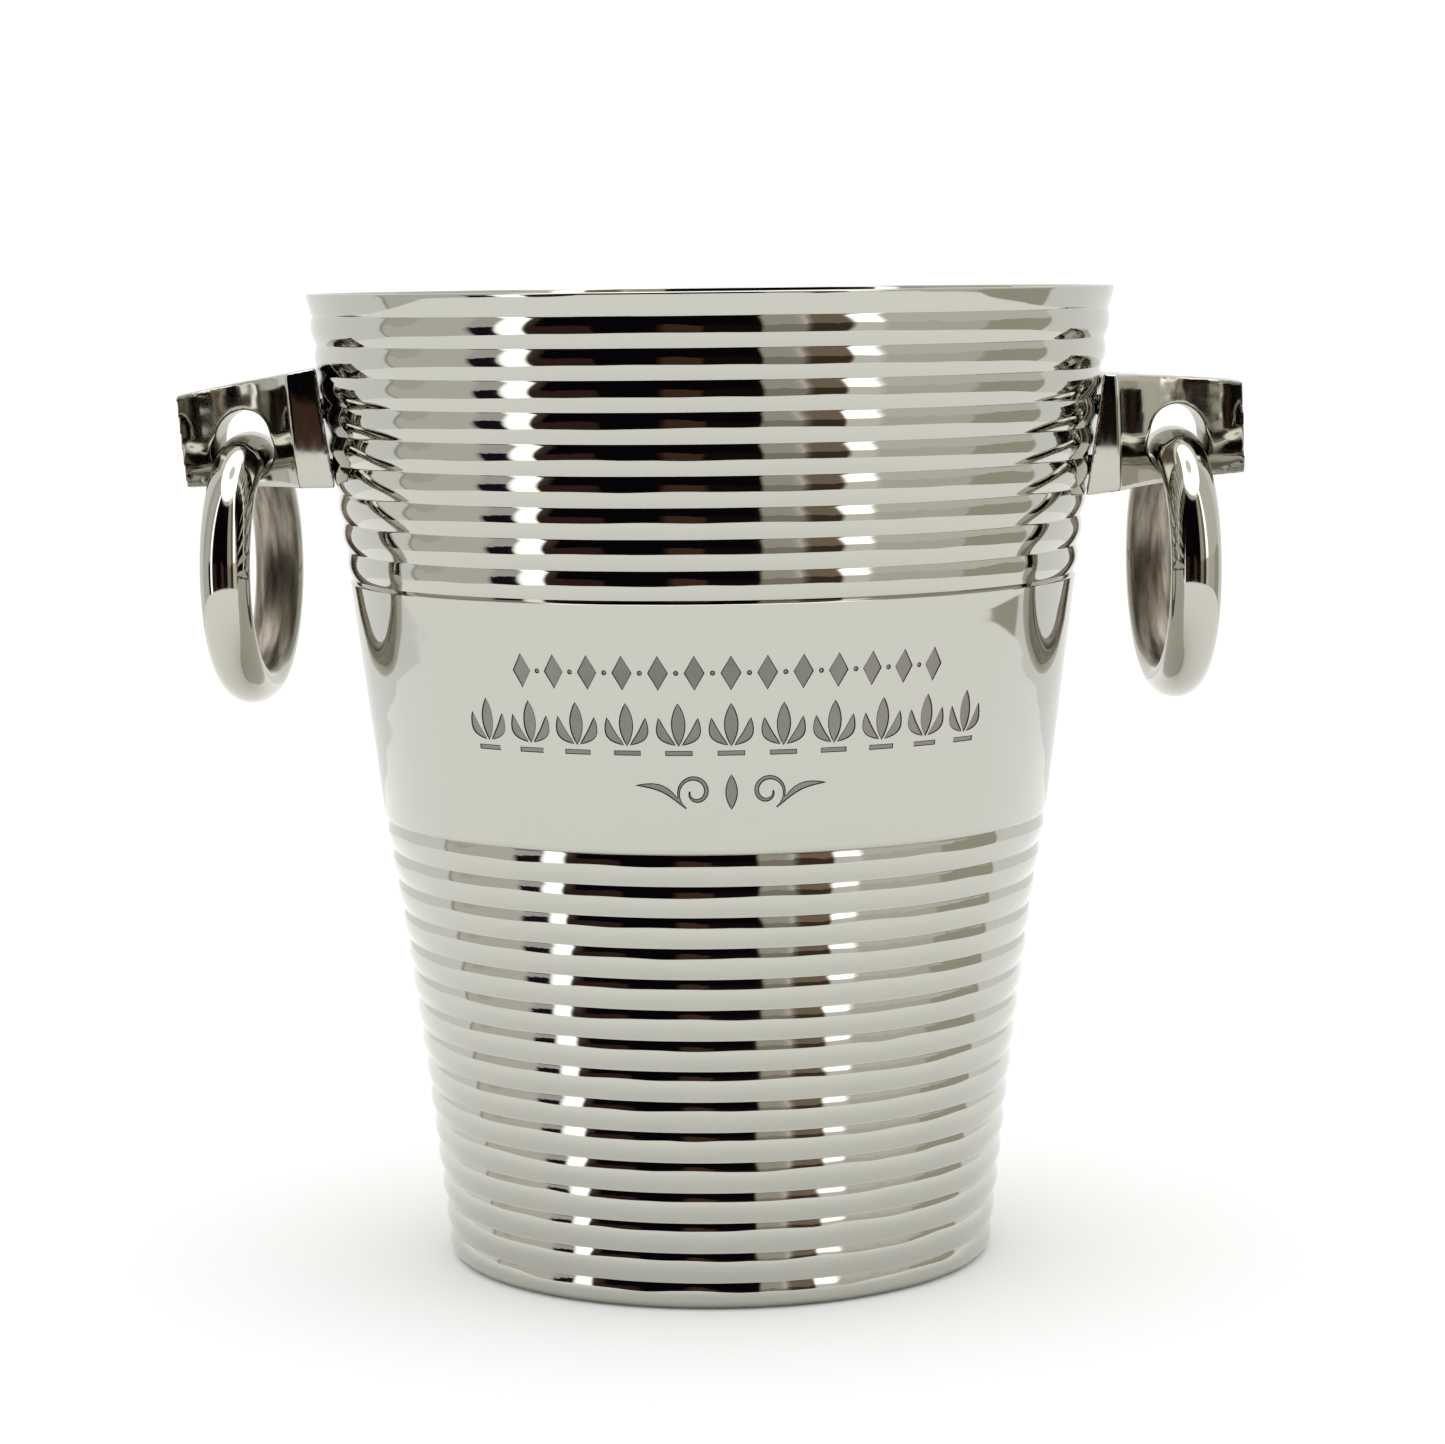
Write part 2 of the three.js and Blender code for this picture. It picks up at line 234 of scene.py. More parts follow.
def drawn_out(name: str, outline: Sequence[Point], depth: float) -> Object:
    """Draws a closed outline out along Z, half to each side of zero, in millimetres."""
    count = len(outline)
    solid = [(x * MM, y * MM, side * depth * MM / 2) for side in (-1, 1) for x, y in outline]
    sides = [(i, (i + 1) % count, count + (i + 1) % count, count + i) for i in range(count)]
    caps = [tuple(range(count))[::-1], tuple(range(count, 2 * count))]
    obj = mesh_object(name, solid, sides + caps)
    face_outwards(obj)
    return obj


class Cut(Enum):
    """How a tool works on a solid."""

    AWAY = "DIFFERENCE"
    SHARED = "INTERSECT"
    JOINED = "UNION"


def cut(obj: Object, tool: Object, how: Cut) -> None:
    """Cuts or joins a solid with a tool, and throws the tool away."""
    modifier = obj.modifiers.new("cut", "BOOLEAN")
    modifier.operation = how.value
    modifier.object = tool
    modifier.solver = "MANIFOLD"
    settle(obj)
    bpy.data.objects.remove(tool)


def arc(centre: Point, radius: float, start: float, end: float, steps: int) -> list[Point]:
    """Points on an arc between two angles in degrees, both ends included."""
    angles = [math.radians(start + (end - start) * step / steps) for step in range(steps + 1)]
    return [(centre[0] + radius * math.cos(a), centre[1] + radius * math.sin(a)) for a in angles]


def signed_area(outline: Sequence[Point]) -> float:
    """The area inside an outline, below zero where it runs clockwise."""
    following = list(outline[1:]) + [outline[0]]
    return sum(a[0] * b[1] - a[1] * b[0] for a, b in zip(outline, following)) / 2


def move(obj: Object, matrix: Matrix) -> None:
    """Moves an object's mesh, so that its own place stays at the origin."""
    obj.data.transform(matrix)
    obj.data.update()


def dress(obj: Object, body: str, slot: str, *nodes: str) -> None:
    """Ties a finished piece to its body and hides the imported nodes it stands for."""
    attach(obj, body)
    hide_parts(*nodes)
    log.info("%s: %d faces", obj.name, len(obj.data.polygons))


# ---------------------------------------------------------------- finishes


@dataclass(frozen=True)
class Finish:
    """What all finishes share: a named material with one colour. Kinds of finish add the rest."""

    name: str
    colour: str
    metal: ClassVar[float] = 1.0

    def material(self) -> bpy.types.Material:
        """Builds the material."""
        made = bpy.data.materials.new(self.name)
        made.use_nodes = True
        tree = made.node_tree
        shader = tree.nodes["Principled BSDF"]
        shader.inputs["Metallic"].default_value = self.metal
        shader.inputs["Base Color"].default_value = linear(self.colour)
        self.surface(tree, shader, add_node(tree, "ShaderNodeTexCoord").outputs["Object"])
        return made

    def surface(self, tree: Tree, shader: bpy.types.Node, place: Socket) -> None:
        """Draws the surface into the shader.

        Args:
            tree: The material's tree.
            shader: Its principled shader.
            place: The point on the object, in metres.
        """
        raise NotImplementedError

    @staticmethod
    def bump(tree: Tree, shader: bpy.types.Node, height: Socket, strength: float, deep: float) -> None:
        """Gives a shader fine relief, with a depth in millimetres."""
        inputs = {"Strength": strength, "Distance": deep * MM, "Height": height}
        relief = add_node(tree, "ShaderNodeBump", inputs=inputs)
        tree.links.new(relief.outputs["Normal"], shader.inputs["Normal"])


@dataclass(frozen=True)
class PolishedNickel(Finish):
    """Nickel plate on spun aluminium, buffed to a mirror.

    The plate is a warm grey. The eye sees a clear reflection with a little haze in it, faint
    buffing lines that run round the piece and a few cloudy patches where a cloth went over it.
    """

    name: str = "polished_nickel_plate"
    colour: str = "#bdbdb4"
    haze: float = 0.04
    cloud_mm: float = 45.0
    buffing_mm: float = 0.6
    stretch: float = 0.06  # how slowly a buffing line changes round the piece

    def surface(self, tree: Tree, shader: bpy.types.Node, place: Socket) -> None:
        """Draws the haze and the buffing lines."""
        clouds = speckle(tree, place, 1 / (self.cloud_mm * MM), 4.0)
        clouds.node.inputs["Roughness"].default_value = 0.6
        haze = spread(tree, clouds, (0.35, 0.75), (self.haze * 0.7, self.haze * 1.6))
        tree.links.new(haze, shader.inputs["Roughness"])
        # The buffing lines are far finer than this on the real piece; here they are as fine as
        # they can be and still show.
        scale = (self.stretch, self.stretch, 1.0)
        stretched = add_node(tree, "ShaderNodeMapping", inputs={"Vector": place, "Scale": scale})
        lines = speckle(tree, stretched.outputs[0], 1 / (self.buffing_mm * MM), 3.0)
        self.bump(tree, shader, lines, 0.02, 0.02)


@dataclass(frozen=True)
class CastNickel(Finish):
    """Nickel plate on an aluminium casting that was ground and polished by hand.

    Where the wheel reached, it is as bright as the shell but softly uneven. Where it didn't, the
    skin of the casting is left: browner, dull and grainy. A mesh attribute says where; on the
    lugs the same browner, darker colour also lies in the hole and the waist as painted shade.
    """

    name: str
    colour: str = "#bcbbb1"
    raw_colour: str = "#aea392"
    stain_colour: str = "#6e655b"
    haze: float = 0.05
    raw_roughness: float = 0.36
    grain_mm: float = 0.9
    streaks: tuple[float, float, float] = (0.55, 0.06, 0.2)  # changes in each millimetre

    def surface(self, tree: Tree, shader: bpy.types.Node, place: Socket) -> None:
        """Draws the polish, and the stained and grainy skin where it is raw and where it stands for
        painted shade.
        """
        raw = add_node(tree, "ShaderNodeAttribute", {"attribute_name": "raw"}).outputs["Fac"]
        # The file ran along the piece, and "along" holds millimetres across it and along it.
        along = add_node(tree, "ShaderNodeAttribute", {"attribute_name": "along"}).outputs["Vector"]
        filed = add_node(tree, "ShaderNodeMapping", inputs={"Vector": along, "Scale": self.streaks})
        stains = speckle(tree, filed.outputs[0], 1.0, 5.0)
        stops = [(0.34, linear(self.stain_colour)), (0.6, linear(self.raw_colour))]
        # The browner skin colour is real raw skin on the rings and partly at the lugs' waists, and
        # painted shade in the lugs' holes and creases.
        colour = mixed(tree, raw, linear(self.colour), ramp(tree, stains, stops))
        tree.links.new(colour, shader.inputs["Base Color"])
        haze = spread(tree, stains, (0.3, 0.7), (self.haze * 0.7, self.haze * 1.5))
        inputs = {"Factor": raw, 2: haze, 3: self.raw_roughness}
        roughness = add_node(tree, "ShaderNodeMix", {"data_type": "FLOAT"}, inputs)
        tree.links.new(roughness.outputs[0], shader.inputs["Roughness"])
        grain = speckle(tree, place, 1 / (self.grain_mm * MM), 5.0)
        grain.node.inputs["Roughness"].default_value = 0.65
        self.bump(tree, shader, sums(tree, "MULTIPLY", grain, raw), 0.5, 0.12)


@dataclass(frozen=True)
class EtchedNickel(Finish):
    """The etched ornament: the plate is eaten to a fine, even matt grain."""

    name: str = "etched_nickel"
    colour: str = "#8d8c87"
    roughness: float = 0.4
    grain_mm: float = 0.25

    def surface(self, tree: Tree, shader: bpy.types.Node, place: Socket) -> None:
        """Draws the grain."""
        shader.inputs["Roughness"].default_value = self.roughness
        self.bump(tree, shader, speckle(tree, place, 1 / (self.grain_mm * MM)), 0.4, 0.03)


@dataclass(frozen=True)
class SpunNickel(Finish):
    """The inside of the shell: thin nickel over the spinner's tool marks, satin, not a mirror.

    The eye sees soft light and dark that follow the wall, broken by fine rings round the axis.
    """

    name: str = "spun_nickel_inside"
    colour: str = "#c4c2b9"
    roughness: float = 0.3
    ring_mm: float = 1.1

    def surface(self, tree: Tree, shader: bpy.types.Node, place: Socket) -> None:
        """Draws the rings, from a pattern that knows only the height and the distance out."""
        parts = add_node(tree, "ShaderNodeSeparateXYZ", inputs={"Vector": place}).outputs
        flat = vector_sums(tree, "MULTIPLY", place, (1.0, 1.0, 0.0))
        out = add_node(tree, "ShaderNodeVectorMath", {"operation": "LENGTH"}, {0: flat})
        inputs = {"X": out.outputs["Value"], "Y": parts["Z"]}
        section = add_node(tree, "ShaderNodeCombineXYZ", inputs=inputs)
        rings = speckle(tree, section.outputs[0], 1 / (self.ring_mm * MM), 4.0)
        rings.node.inputs["Roughness"].default_value = 0.6
        satin = spread(tree, rings, (0.0, 1.0), (self.roughness * 0.7, self.roughness * 1.35))
        tree.links.new(satin, shader.inputs["Roughness"])
        self.bump(tree, shader, rings, 0.35, 0.04)


@dataclass(frozen=True)
class TurnedSteel(Finish):
    """Stainless steel left as it came off the lathe or the press, with a fine even grain."""

    roughness: float
    line_mm: float = 0.35

    def surface(self, tree: Tree, shader: bpy.types.Node, place: Socket) -> None:
        """Draws the grain."""
        lines = speckle(tree, place, 1 / (self.line_mm * MM), 3.0)
        uneven = spread(tree, lines, (0.0, 1.0), (self.roughness * 0.8, self.roughness * 1.3))
        tree.links.new(uneven, shader.inputs["Roughness"])
        self.bump(tree, shader, lines, 0.2, 0.02)


@dataclass(frozen=True)
class StudioPaper(Finish):
    """Matt white background paper, rolled out as the floor."""

    name: str = "matt_white_paper"
    colour: str = "#f9f8f7"
    grain_mm: float = 1.5
    metal: ClassVar[float] = 0.0

    def surface(self, tree: Tree, shader: bpy.types.Node, place: Socket) -> None:
        """Draws the paper's faint tooth."""
        shader.inputs["Roughness"].default_value = 0.9
        shader.inputs["Specular IOR Level"].default_value = 0.0
        self.bump(tree, shader, speckle(tree, place, 1 / (self.grain_mm * MM)), 0.05, 0.05)


# ---------------------------------------------------------------- studio


@dataclass
class Studio:
    """The floor, the light and the camera.

    The room round the bucket is made of upright strips, each given by the bearing where it
    starts, in degrees from the camera's side and rising to the right, and by its colour.
    """

    lens_mm: float = 100.75
    sensor_mm: float = 36.0
    distance: float = 1.0103
    eye_height: float = 0.2467
    pitch: float = 6.38
    roll: float = -0.67
    yaw: float = 0.11
    table_radius: float = 0.74  # beyond it the metal sees the room and not the table
    floor_radius: float = 12.0
    lamp_watts: float = 9.0
    lamp_size: float = 2.4
    lamp_place: tuple[float, float, float] = (0, -0.2, 2.2)
    plain_light: float = 1.12
    edge: float = 0.4  # degrees of blur on each side of a strip's edge
    window_gain: float = 2.4  # a window is white light, this much over paper white
    ceiling_gain: float = 1.9
    strips: tuple[tuple[float, str], ...] = (
        (-180, "#fbfbfa"), (-107, "#6f6b64"), (-106, "#cfcec6"), (-92.6, "#dedcd7"),
        (-73, "#cbc7c7"), (-62, "window"), (-54, "#4a3a38"), (-50.5, "#0c080d"),
        (15, "#bdb7ac"), (25.5, "#e2dfd7"), (28, "#8d7a68"), (40, "window"),
        (50.5, "#e6e4dd"), (113, "#fbfbfa"),
    )  # fmt: skip
    low_strips: tuple[tuple[float, str], ...] = (
        (-180, "#fbfbfa"), (-107, "#6f6b64"), (-106, "#dedcd7"), (-73, "#1d1722"),
        (-62, "window"), (-54, "#3a2826"), (-33, "#0d090d"), (-14, "#4b352b"),
        (-2, "#1a1112"), (15, "#9b9488"), (28, "#4c3b30"), (40, "#f0eee8"),
        (50.5, "#d9d6cc"), (84, "#bdb8aa"), (113, "#fbfbfa"),
    )  # fmt: skip

    def build(self) -> None:
        """Makes the whole studio."""
        self.camera()
        self.floor()
        self.surroundings()
        self.lamp()

    def camera(self) -> None:
        """Sets the camera in front of the bucket, at the height of its rim."""
        data = bpy.data.cameras.new("camera")
        data.sensor_width = self.sensor_mm
        data.lens = self.lens_mm
        eye = bpy.data.objects.new("camera", data)
        bpy.context.scene.collection.objects.link(eye)
        pitch, roll, yaw = (math.radians(a) for a in (self.pitch, self.roll, self.yaw))
        level = Vector((math.sin(yaw), math.cos(yaw), 0))
        across = Vector((math.cos(yaw), -math.sin(yaw), 0))
        ahead = level * math.cos(pitch) - Vector((0, 0, math.sin(pitch)))
        upright = level * math.sin(pitch) + Vector((0, 0, math.cos(pitch)))
        right = across * math.cos(roll) + upright * math.sin(roll)
        up = upright * math.cos(roll) - across * math.sin(roll)
        turn = Matrix((right, up, -ahead)).transposed().to_4x4()
        eye.matrix_world = Matrix.Translation((0, -self.distance, self.eye_height)) @ turn
        bpy.context.scene.camera = eye

    def floor(self) -> None:
        """Rolls out the pale floor: the table that the bucket stands on, and the paper round it."""
        paper = StudioPaper().material()
        near = arc((0, 0), self.table_radius, 0, 360, 96)[:-1]
        far = arc((0, 0), self.floor_radius, 0, 360, 96)[:-1]
        count = len(near)
        table = mesh_object("floor", [(x, y, 0) for x, y in near], [tuple(range(count))])
        band = [(i, (i + 1) % count, count + (i + 1) % count, count + i)[::-1] for i in range(count)]
        beyond = mesh_object("floor_beyond", [(x, y, 0) for x, y in near + far], band)
        beyond.visible_glossy = False
        for sheet in (table, beyond):
            sheet.data.materials.append(paper)

    def surroundings(self) -> None:
        """Makes the surroundings: plain white light, and the room that polished metal shows."""
        world = bpy.data.worlds.new("studio")
        bpy.context.scene.world = world
        world.use_nodes = True
        world.cycles.sampling_method = "NONE"
        tree = world.node_tree
        tree.nodes.clear()
        way = add_node(tree, "ShaderNodeTexCoord").outputs["Generated"]
        parts = add_node(tree, "ShaderNodeSeparateXYZ", inputs={"Vector": way}).outputs
        rise = parts["Z"]
        bearing = sums(tree, "ARCTAN2", parts["X"], sums(tree, "MULTIPLY", parts["Y"], -1.0))
        share = spread(tree, bearing, (-math.pi, math.pi), (0.0, 1.0))
        clutter = speckle(tree, way, 9.0, 3.0)
        above = sums(tree, "GREATER_THAN", rise, spread(tree, clutter, (0.3, 0.7), (0.04, 0.15)))
        low, high = (self.room(tree, share, strips) for strips in (self.low_strips, self.strips))
        room = mixed(tree, above, low, high)
        # Lamps stand in a ring high up, between the dark upper walls and the grey ceiling.
        lit = linear("#ffffff", self.ceiling_gain)
        stops = [(0.86, linear("#5c5854")), (0.875, lit), (0.989, lit), (0.993, linear("#aaa69e"))]
        smooth = {"interpolation_type": "SMOOTHSTEP"}
        ceiling = add_node(tree, "ShaderNodeMapRange", smooth, {0: rise, 1: 0.85, 2: 0.87})
        shown = mixed(tree, ceiling.outputs["Result"], room, ramp(tree, rise, stops))
        glossy = add_node(tree, "ShaderNodeLightPath").outputs["Is Glossy Ray"]
        seen = mixed(tree, glossy, (self.plain_light,) * 3 + (1.0,), shown)
        glow = add_node(tree, "ShaderNodeBackground", inputs={"Color": seen})
        add_node(tree, "ShaderNodeOutputWorld", inputs={"Surface": glow.outputs[0]})

    def room(self, tree: Tree, share: Socket, strips: Sequence[tuple[float, str]]) -> Socket:
        """Sets coloured strips side by side round the horizon.

        Args:
            tree: The world's tree.
            share: The bearing, from zero behind over the left to one behind again.
            strips: The strips, each from the bearing where it starts to the next one's.

        Returns:
            The colour in the direction of the ray.
        """
        stops = []
        ends = [start for start, _ in strips[1:]] + [180.0]
        for (start, name), end in zip(strips, ends):
            colour = linear("#ffffff", self.window_gain) if name == "window" else linear(name)
            for bearing in (start + self.edge, end - self.edge):
                stops.append(((bearing + 180) / 360, colour))
        return ramp(tree, share, stops)

    def lamp(self) -> None:
        """Hangs one large soft box over the bucket."""
        data = bpy.data.lights.new("soft_box", "AREA")
        data.shape = "DISK"
        data.size = self.lamp_size
        data.energy = self.lamp_watts
        lamp = bpy.data.objects.new("soft_box", data)
        lamp.location = self.lamp_place
        bpy.context.scene.collection.objects.link(lamp)


# ---------------------------------------------------------------- shell


@dataclass
class Ornament:
    """A generic etched ornament in three tiers, drawn flat in millimetres from its middle.

    The first axis runs round the band and the second runs up.
    """

    top_rise: float = 13.4
    middle_rise: float = 0.2
    low_rise: float = -14.6
    lozenges: int = 13
    lozenge_pitch: float = 8.3
    lozenge_height: float = 8.2
    fleurons: int = 11
    fleuron_pitch: float = 12.2
    fleuron_height: float = 12.4
    dot_radius: float = 0.62
    scroll_steps: int = 30

    def leaf(self, root: Point, tip: Point, width: float, bend: float = 0.0) -> list[Point]:
        """The outline of a pointed leaf between two points, its middle bent aside by bend."""
        along = Vector((tip[0] - root[0], tip[1] - root[1]))
        aside = Vector((-along.y, along.x)).normalized()
        steps = 10
        sides: list[list[Point]] = [[], []]
        for step in range(steps + 1):
            share = step / steps
            middle = Vector(root) + along * share + aside * (bend * math.sin(math.pi * share))
            half = width / 2 * math.sin(math.pi * share) ** 0.8
            sides[0].append(tuple(middle + aside * half))
            if 0 < step < steps:
                sides[1].append(tuple(middle - aside * half))
        return sides[0] + sides[1][::-1]

    def lozenge_row(self) -> list[list[Point]]:
        """The top tier: upright lozenges with dots between them."""
        shapes = []
        half = (self.lozenges - 1) / 2
        for number in range(self.lozenges):
            x, y = (number - half) * self.lozenge_pitch, self.top_rise
            tall, wide = self.lozenge_height / 2, self.lozenge_height * 0.29
            shapes.append([(x, y - tall), (x + wide, y), (x, y + tall), (x - wide, y)])
            if number < self.lozenges - 1:
                middle = (x + self.lozenge_pitch / 2, y)
                shapes.append(arc(middle, self.dot_radius, 0, 360, 10)[:-1])
        return shapes

    def fleuron_row(self) -> list[list[Point]]:
        """The middle tier: a frieze of three-leaved fleurons, each on a small bar."""
        shapes = []
        half = (self.fleurons - 1) / 2
        for number in range(self.fleurons):
            x = (number - half) * self.fleuron_pitch
            low = self.middle_rise - self.fleuron_height / 2
            high = self.middle_rise + self.fleuron_height / 2
            shapes.append(self.leaf((x, low + 2.2), (x, high), 3.4))
            for way in (-1, 1):
                root, tip = (x + way * 0.7, low + 2.4), (x + way * 4.6, high - 3.4)
                shapes.append(self.leaf(root, tip, 2.5, bend=way * -1.3))
            shapes.append([(x - 3.2, low), (x + 3.2, low), (x + 3.2, low + 1.2), (x - 3.2, low + 1.2)])
        return shapes

    def scroll(self) -> list[list[Point]]:
        """The low tier: a flourish of two mirrored scrolls about a drop."""
        shapes = [self.leaf((0, self.low_rise - 4.2), (0, self.low_rise + 4.2), 3.0)]
        for way in (-1, 1):
            spine = []
            for step in range(self.scroll_steps + 1):
                share = step / self.scroll_steps
                angle = math.radians(-60 + 430 * share)
                radius = 4.4 * (1 - 0.72 * share)
                x, y = 8.6 + radius * math.cos(angle), self.low_rise + radius * math.sin(angle)
                spine.append((way * x, y))
            shapes.append(self.stroke(spine, 1.15))
            root, tip = (way * 11.4, self.low_rise - 3.6), (way * 23.0, self.low_rise + 1.6)
            shapes.append(self.leaf(root, tip, 1.7, bend=way * 2.0))
        return shapes

    def stroke(self, spine: Sequence[Point], width: float) -> list[Point]:
        """The outline of a pen stroke along a line, thin at both ends."""
        left, right = [], []
        for step, point in enumerate(spine):
            before, after = spine[max(step - 1, 0)], spine[min(step + 1, len(spine) - 1)]
            along = (Vector(after) - Vector(before)).normalized()
            half = width / 2 * (0.35 + 0.65 * math.sin(math.pi * step / (len(spine) - 1)))
            aside = Vector((-along.y, along.x)) * half
            left.append(tuple(Vector(point) + aside))
            right.append(tuple(Vector(point) - aside))
        return left + right[::-1]

    def shapes(self) -> list[list[Point]]:
        """All the outlines of the ornament, each anticlockwise."""
        shapes = self.lozenge_row() + self.fleuron_row() + self.scroll()
        return [shape if signed_area(shape) > 0 else shape[::-1] for shape in shapes]


class Skin(IntEnum):
    """The material numbers of the shell's faces."""

    POLISHED = 0
    ETCHED = 1
    ETCHED_EDGE = 2
    # The ornament's sloping edges, coloured near-black as painted shade.
    INSIDE = 3


@dataclass
class Draft:
    """A mesh in the making: its points in metres, and its faces with their material numbers."""

    points: list[tuple[float, float, float]] = field(default_factory=list)
    faces: list[tuple[int, ...]] = field(default_factory=list)
    slots: list[int] = field(default_factory=list)

    def point(self, place: tuple[float, float, float]) -> int:
        """Adds a point and gives its number."""
        self.points.append(place)
        return len(self.points) - 1

    def face(self, corners: Iterable[int], skin: Skin) -> None:
        """Adds a face."""
        self.faces.append(tuple(corners))
        self.slots.append(skin)

    def build(self, name: str) -> Object:
        """Makes the object."""
        obj = mesh_object(name, self.points, self.faces)
        obj.data.polygons.foreach_set("material_index", self.slots)
        return obj


@dataclass
class Shell:
    """The spun bucket: foot, lower ribs, plain etched band, upper ribs, rim and inside.

    Sizes are in millimetres.
    """

    band_top_radius: float = 90.4
    band_bottom_radius: float = 82.8
    foot_radius: float = 69.0
    lower_bow: float = 0.6
    wall: float = 2.08
    floor: float = 3.5
    band_bottom: float = 111.8
    band_height: float = 59.4
    upper_ribs: int = 9
    lower_ribs: int = 14
    rib_height: float = 0.82
    rim_height: float = 5.4
    lip_overhang: float = 1.42
    lip_round: float = 0.45
    foot_height: float = 6.9
    foot_corner: float = 4.2
    inner_corner: float = 9.0
    groove_round: float = 0.018  # share of a rib's pitch that rounds the groove
    waviness: float = 0.2
    wave_lengths: Point = (19.0, 7.5)  # round the wall and up it
    around: int = 256
    etch_depth: float = 0.18
    etch_edge: float = 0.26
    etch_bearing: float = 2.5  # degrees, the ornament's middle from the front
    window_half: float = 48.0  # degrees of the band on each side of that for the ornament
    window_margin: float = 3.0  # plain part of the band above and below the ornament's window
    smallest_face: float = 1e-4  # square millimetres, under which a flat face is only rounding
    rib_rows: tuple[float, ...] = (0, 0.02, 0.05, 0.12, 0.25, 0.38, 0.5, 0.62, 0.75, 0.88, 0.95, 0.98)
    ornament: Ornament = field(default_factory=Ornament)

    def __post_init__(self) -> None:
        """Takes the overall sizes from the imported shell."""
        low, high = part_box("bucket_shell")
        self.height = (high[2] - low[2]) / MM
        self.rim_radius = (high[0] - low[0]) / 2 / MM
        self.band_top = self.band_bottom + self.band_height
        self.first_groove = self.height - self.rim_height
        self.band_middle = self.band_bottom + self.band_height / 2

    def groove_radius(self, z: float) -> float:
        """Radius of the line through the bottoms of the grooves at a height."""
        band_top = self.band_top_radius - self.rib_height
        band_bottom = self.band_bottom_radius - self.rib_height
        if z >= self.band_top:
            share = (z - self.band_top) / (self.first_groove - self.band_top)
            return band_top + (self.rim_radius - self.lip_overhang - band_top) * share
        if z >= self.band_bottom:
            share = (z - self.band_bottom) / self.band_height
            return band_bottom + (band_top - band_bottom) * share
        share = (z - self.foot_height) / (self.band_bottom - self.foot_height)
        bow = self.lower_bow * math.sin(math.pi * share) if share > 0 else 0.0
        foot = self.foot_radius - self.rib_height
        return foot + (band_bottom - foot) * share - bow

    def band_radius(self, z: float) -> float:
        """Radius of the plain band at a height."""
        share = (z - self.band_bottom) / self.band_height
        return self.band_bottom_radius + (self.band_top_radius - self.band_bottom_radius) * share

    def rib_line(self, bottom: float, top: float, count: int) -> list[Point]:
        """Points of the groove line at every row of a run of ribs, which the tree then raises."""
        pitch = (top - bottom) / count
        heights = [bottom + (rib + row) * pitch for rib in range(count) for row in self.rib_rows]
        return [(self.groove_radius(z), z) for z in heights]

    def band_line(self) -> list[Point]:
        """Points up the plain band, with fine rows at its two shoulders."""
        low, high, edge = self.band_bottom, self.band_top, self.rib_height
        foot, top = self.band_radius(low), self.band_radius(high)
        points = [(self.groove_radius(low), low)]
        points += [(foot - edge * (1 - s) ** 2, low + edge * 0.6 * s) for s in (0.5, 1.0)]
        for z in np.linspace(low + 1.6, high - 1.6, 20):
            points.append((self.band_radius(float(z)), float(z)))
        points += [(top - edge * s**2, high - edge * 0.6 * (1 - s)) for s in (0.0, 0.5)]
        return points

    def rim_line(self) -> list[Point]:
        """Points from the first groove out over the flared lip to the inner wall."""
        lip, soft = self.rim_radius, self.lip_round
        low, start = self.first_groove, self.rim_radius - self.lip_overhang
        high = self.height - soft
        points = []
        for share in (0, 0.03, 0.08, 0.16, 0.3, 0.5, 0.7, 0.85):
            flare = start + (lip - start) * (0.25 * math.sin(share * math.pi / 2) ** 0.5 + 0.75 * share)
            points.append((flare, low + (high - low) * share))
        points += arc((lip - soft, high), soft, -15, 90, 7)
        inner = self.groove_radius(self.height) - self.wall
        points += arc((inner + soft, high), soft, 90, 180, 5)
        return points

    def inner_line(self) -> list[Point]:
        """Points down the inner wall and over the inner corner to the floor's middle."""
        start = self.height - 1.2
        stop = self.floor + self.inner_corner
        heights = [float(z) for z in np.linspace(start, stop, 18)]
        points = [(self.groove_radius(z) - self.wall, z) for z in heights]
        last = points.pop()
        centre = (last[0] - self.inner_corner, stop)
        points += arc(centre, self.inner_corner, 0, -90, 8)
        points += [(centre[0] * share, self.floor) for share in (0.75, 0.5, 0.25)]
        return points

    def outline(self) -> tuple[list[Point], int]:
        """The profile from the foot's middle to the floor's, and its first inner point's number."""
        corner = self.foot_corner
        shoulder = 0.25  # how much less than a rib the foot stands out
        edge = self.groove_radius(self.foot_height) + self.rib_height - shoulder
        foot = [((edge - corner) * share, 0.0) for share in (0.4, 0.75)]
        foot += arc((edge - corner, corner), corner, -90, -16, 9)
        start = foot[-1][1]
        for share in (0.2, 0.4, 0.6, 0.8, 0.9, 0.97):
            z = start + (self.foot_height - start) * share
            foot.append((edge - (self.rib_height - shoulder) * share**2, z))
        outer = foot + self.rib_line(self.foot_height, self.band_bottom, self.lower_ribs)
        outer += self.band_line()
        outer += self.rib_line(self.band_top, self.first_groove, self.upper_ribs)
        outer += self.rim_line()
        return outer + self.inner_line(), len(outer)

    def place(self, along: float, z: float, sink: float = 0.0) -> tuple[float, float, float]:
        """A point of the band in metres.

        Args:
            along: Distance round the band at its mid height, to the right of the front.
            z: Height.
            sink: Depth below the surface.
        """
        bearing = along / self.band_radius(self.band_middle)
        radius = self.band_radius(z) - sink
        return (radius * math.sin(bearing) * MM, -radius * math.cos(bearing) * MM, z * MM)

    def build(self) -> None:
        """Makes the finished shell."""
        shell = self.mesh()
        self.raise_ribs(shell)
        # Near-black painted shade for the ornament's sloping edges, where the sunk walls look dark.
        etched_edge = EtchedNickel("etched_edge", "#2b2a27", 0.3)
        # In the order of the Skin numbers.
        for finish in (PolishedNickel(), EtchedNickel(), etched_edge, SpunNickel()):
            shell.data.materials.append(finish.material())
        shade(shell, 40)
        part_finishes(shell)
        dress(shell, "bucket", "polished_nickel", "bucket_shell")

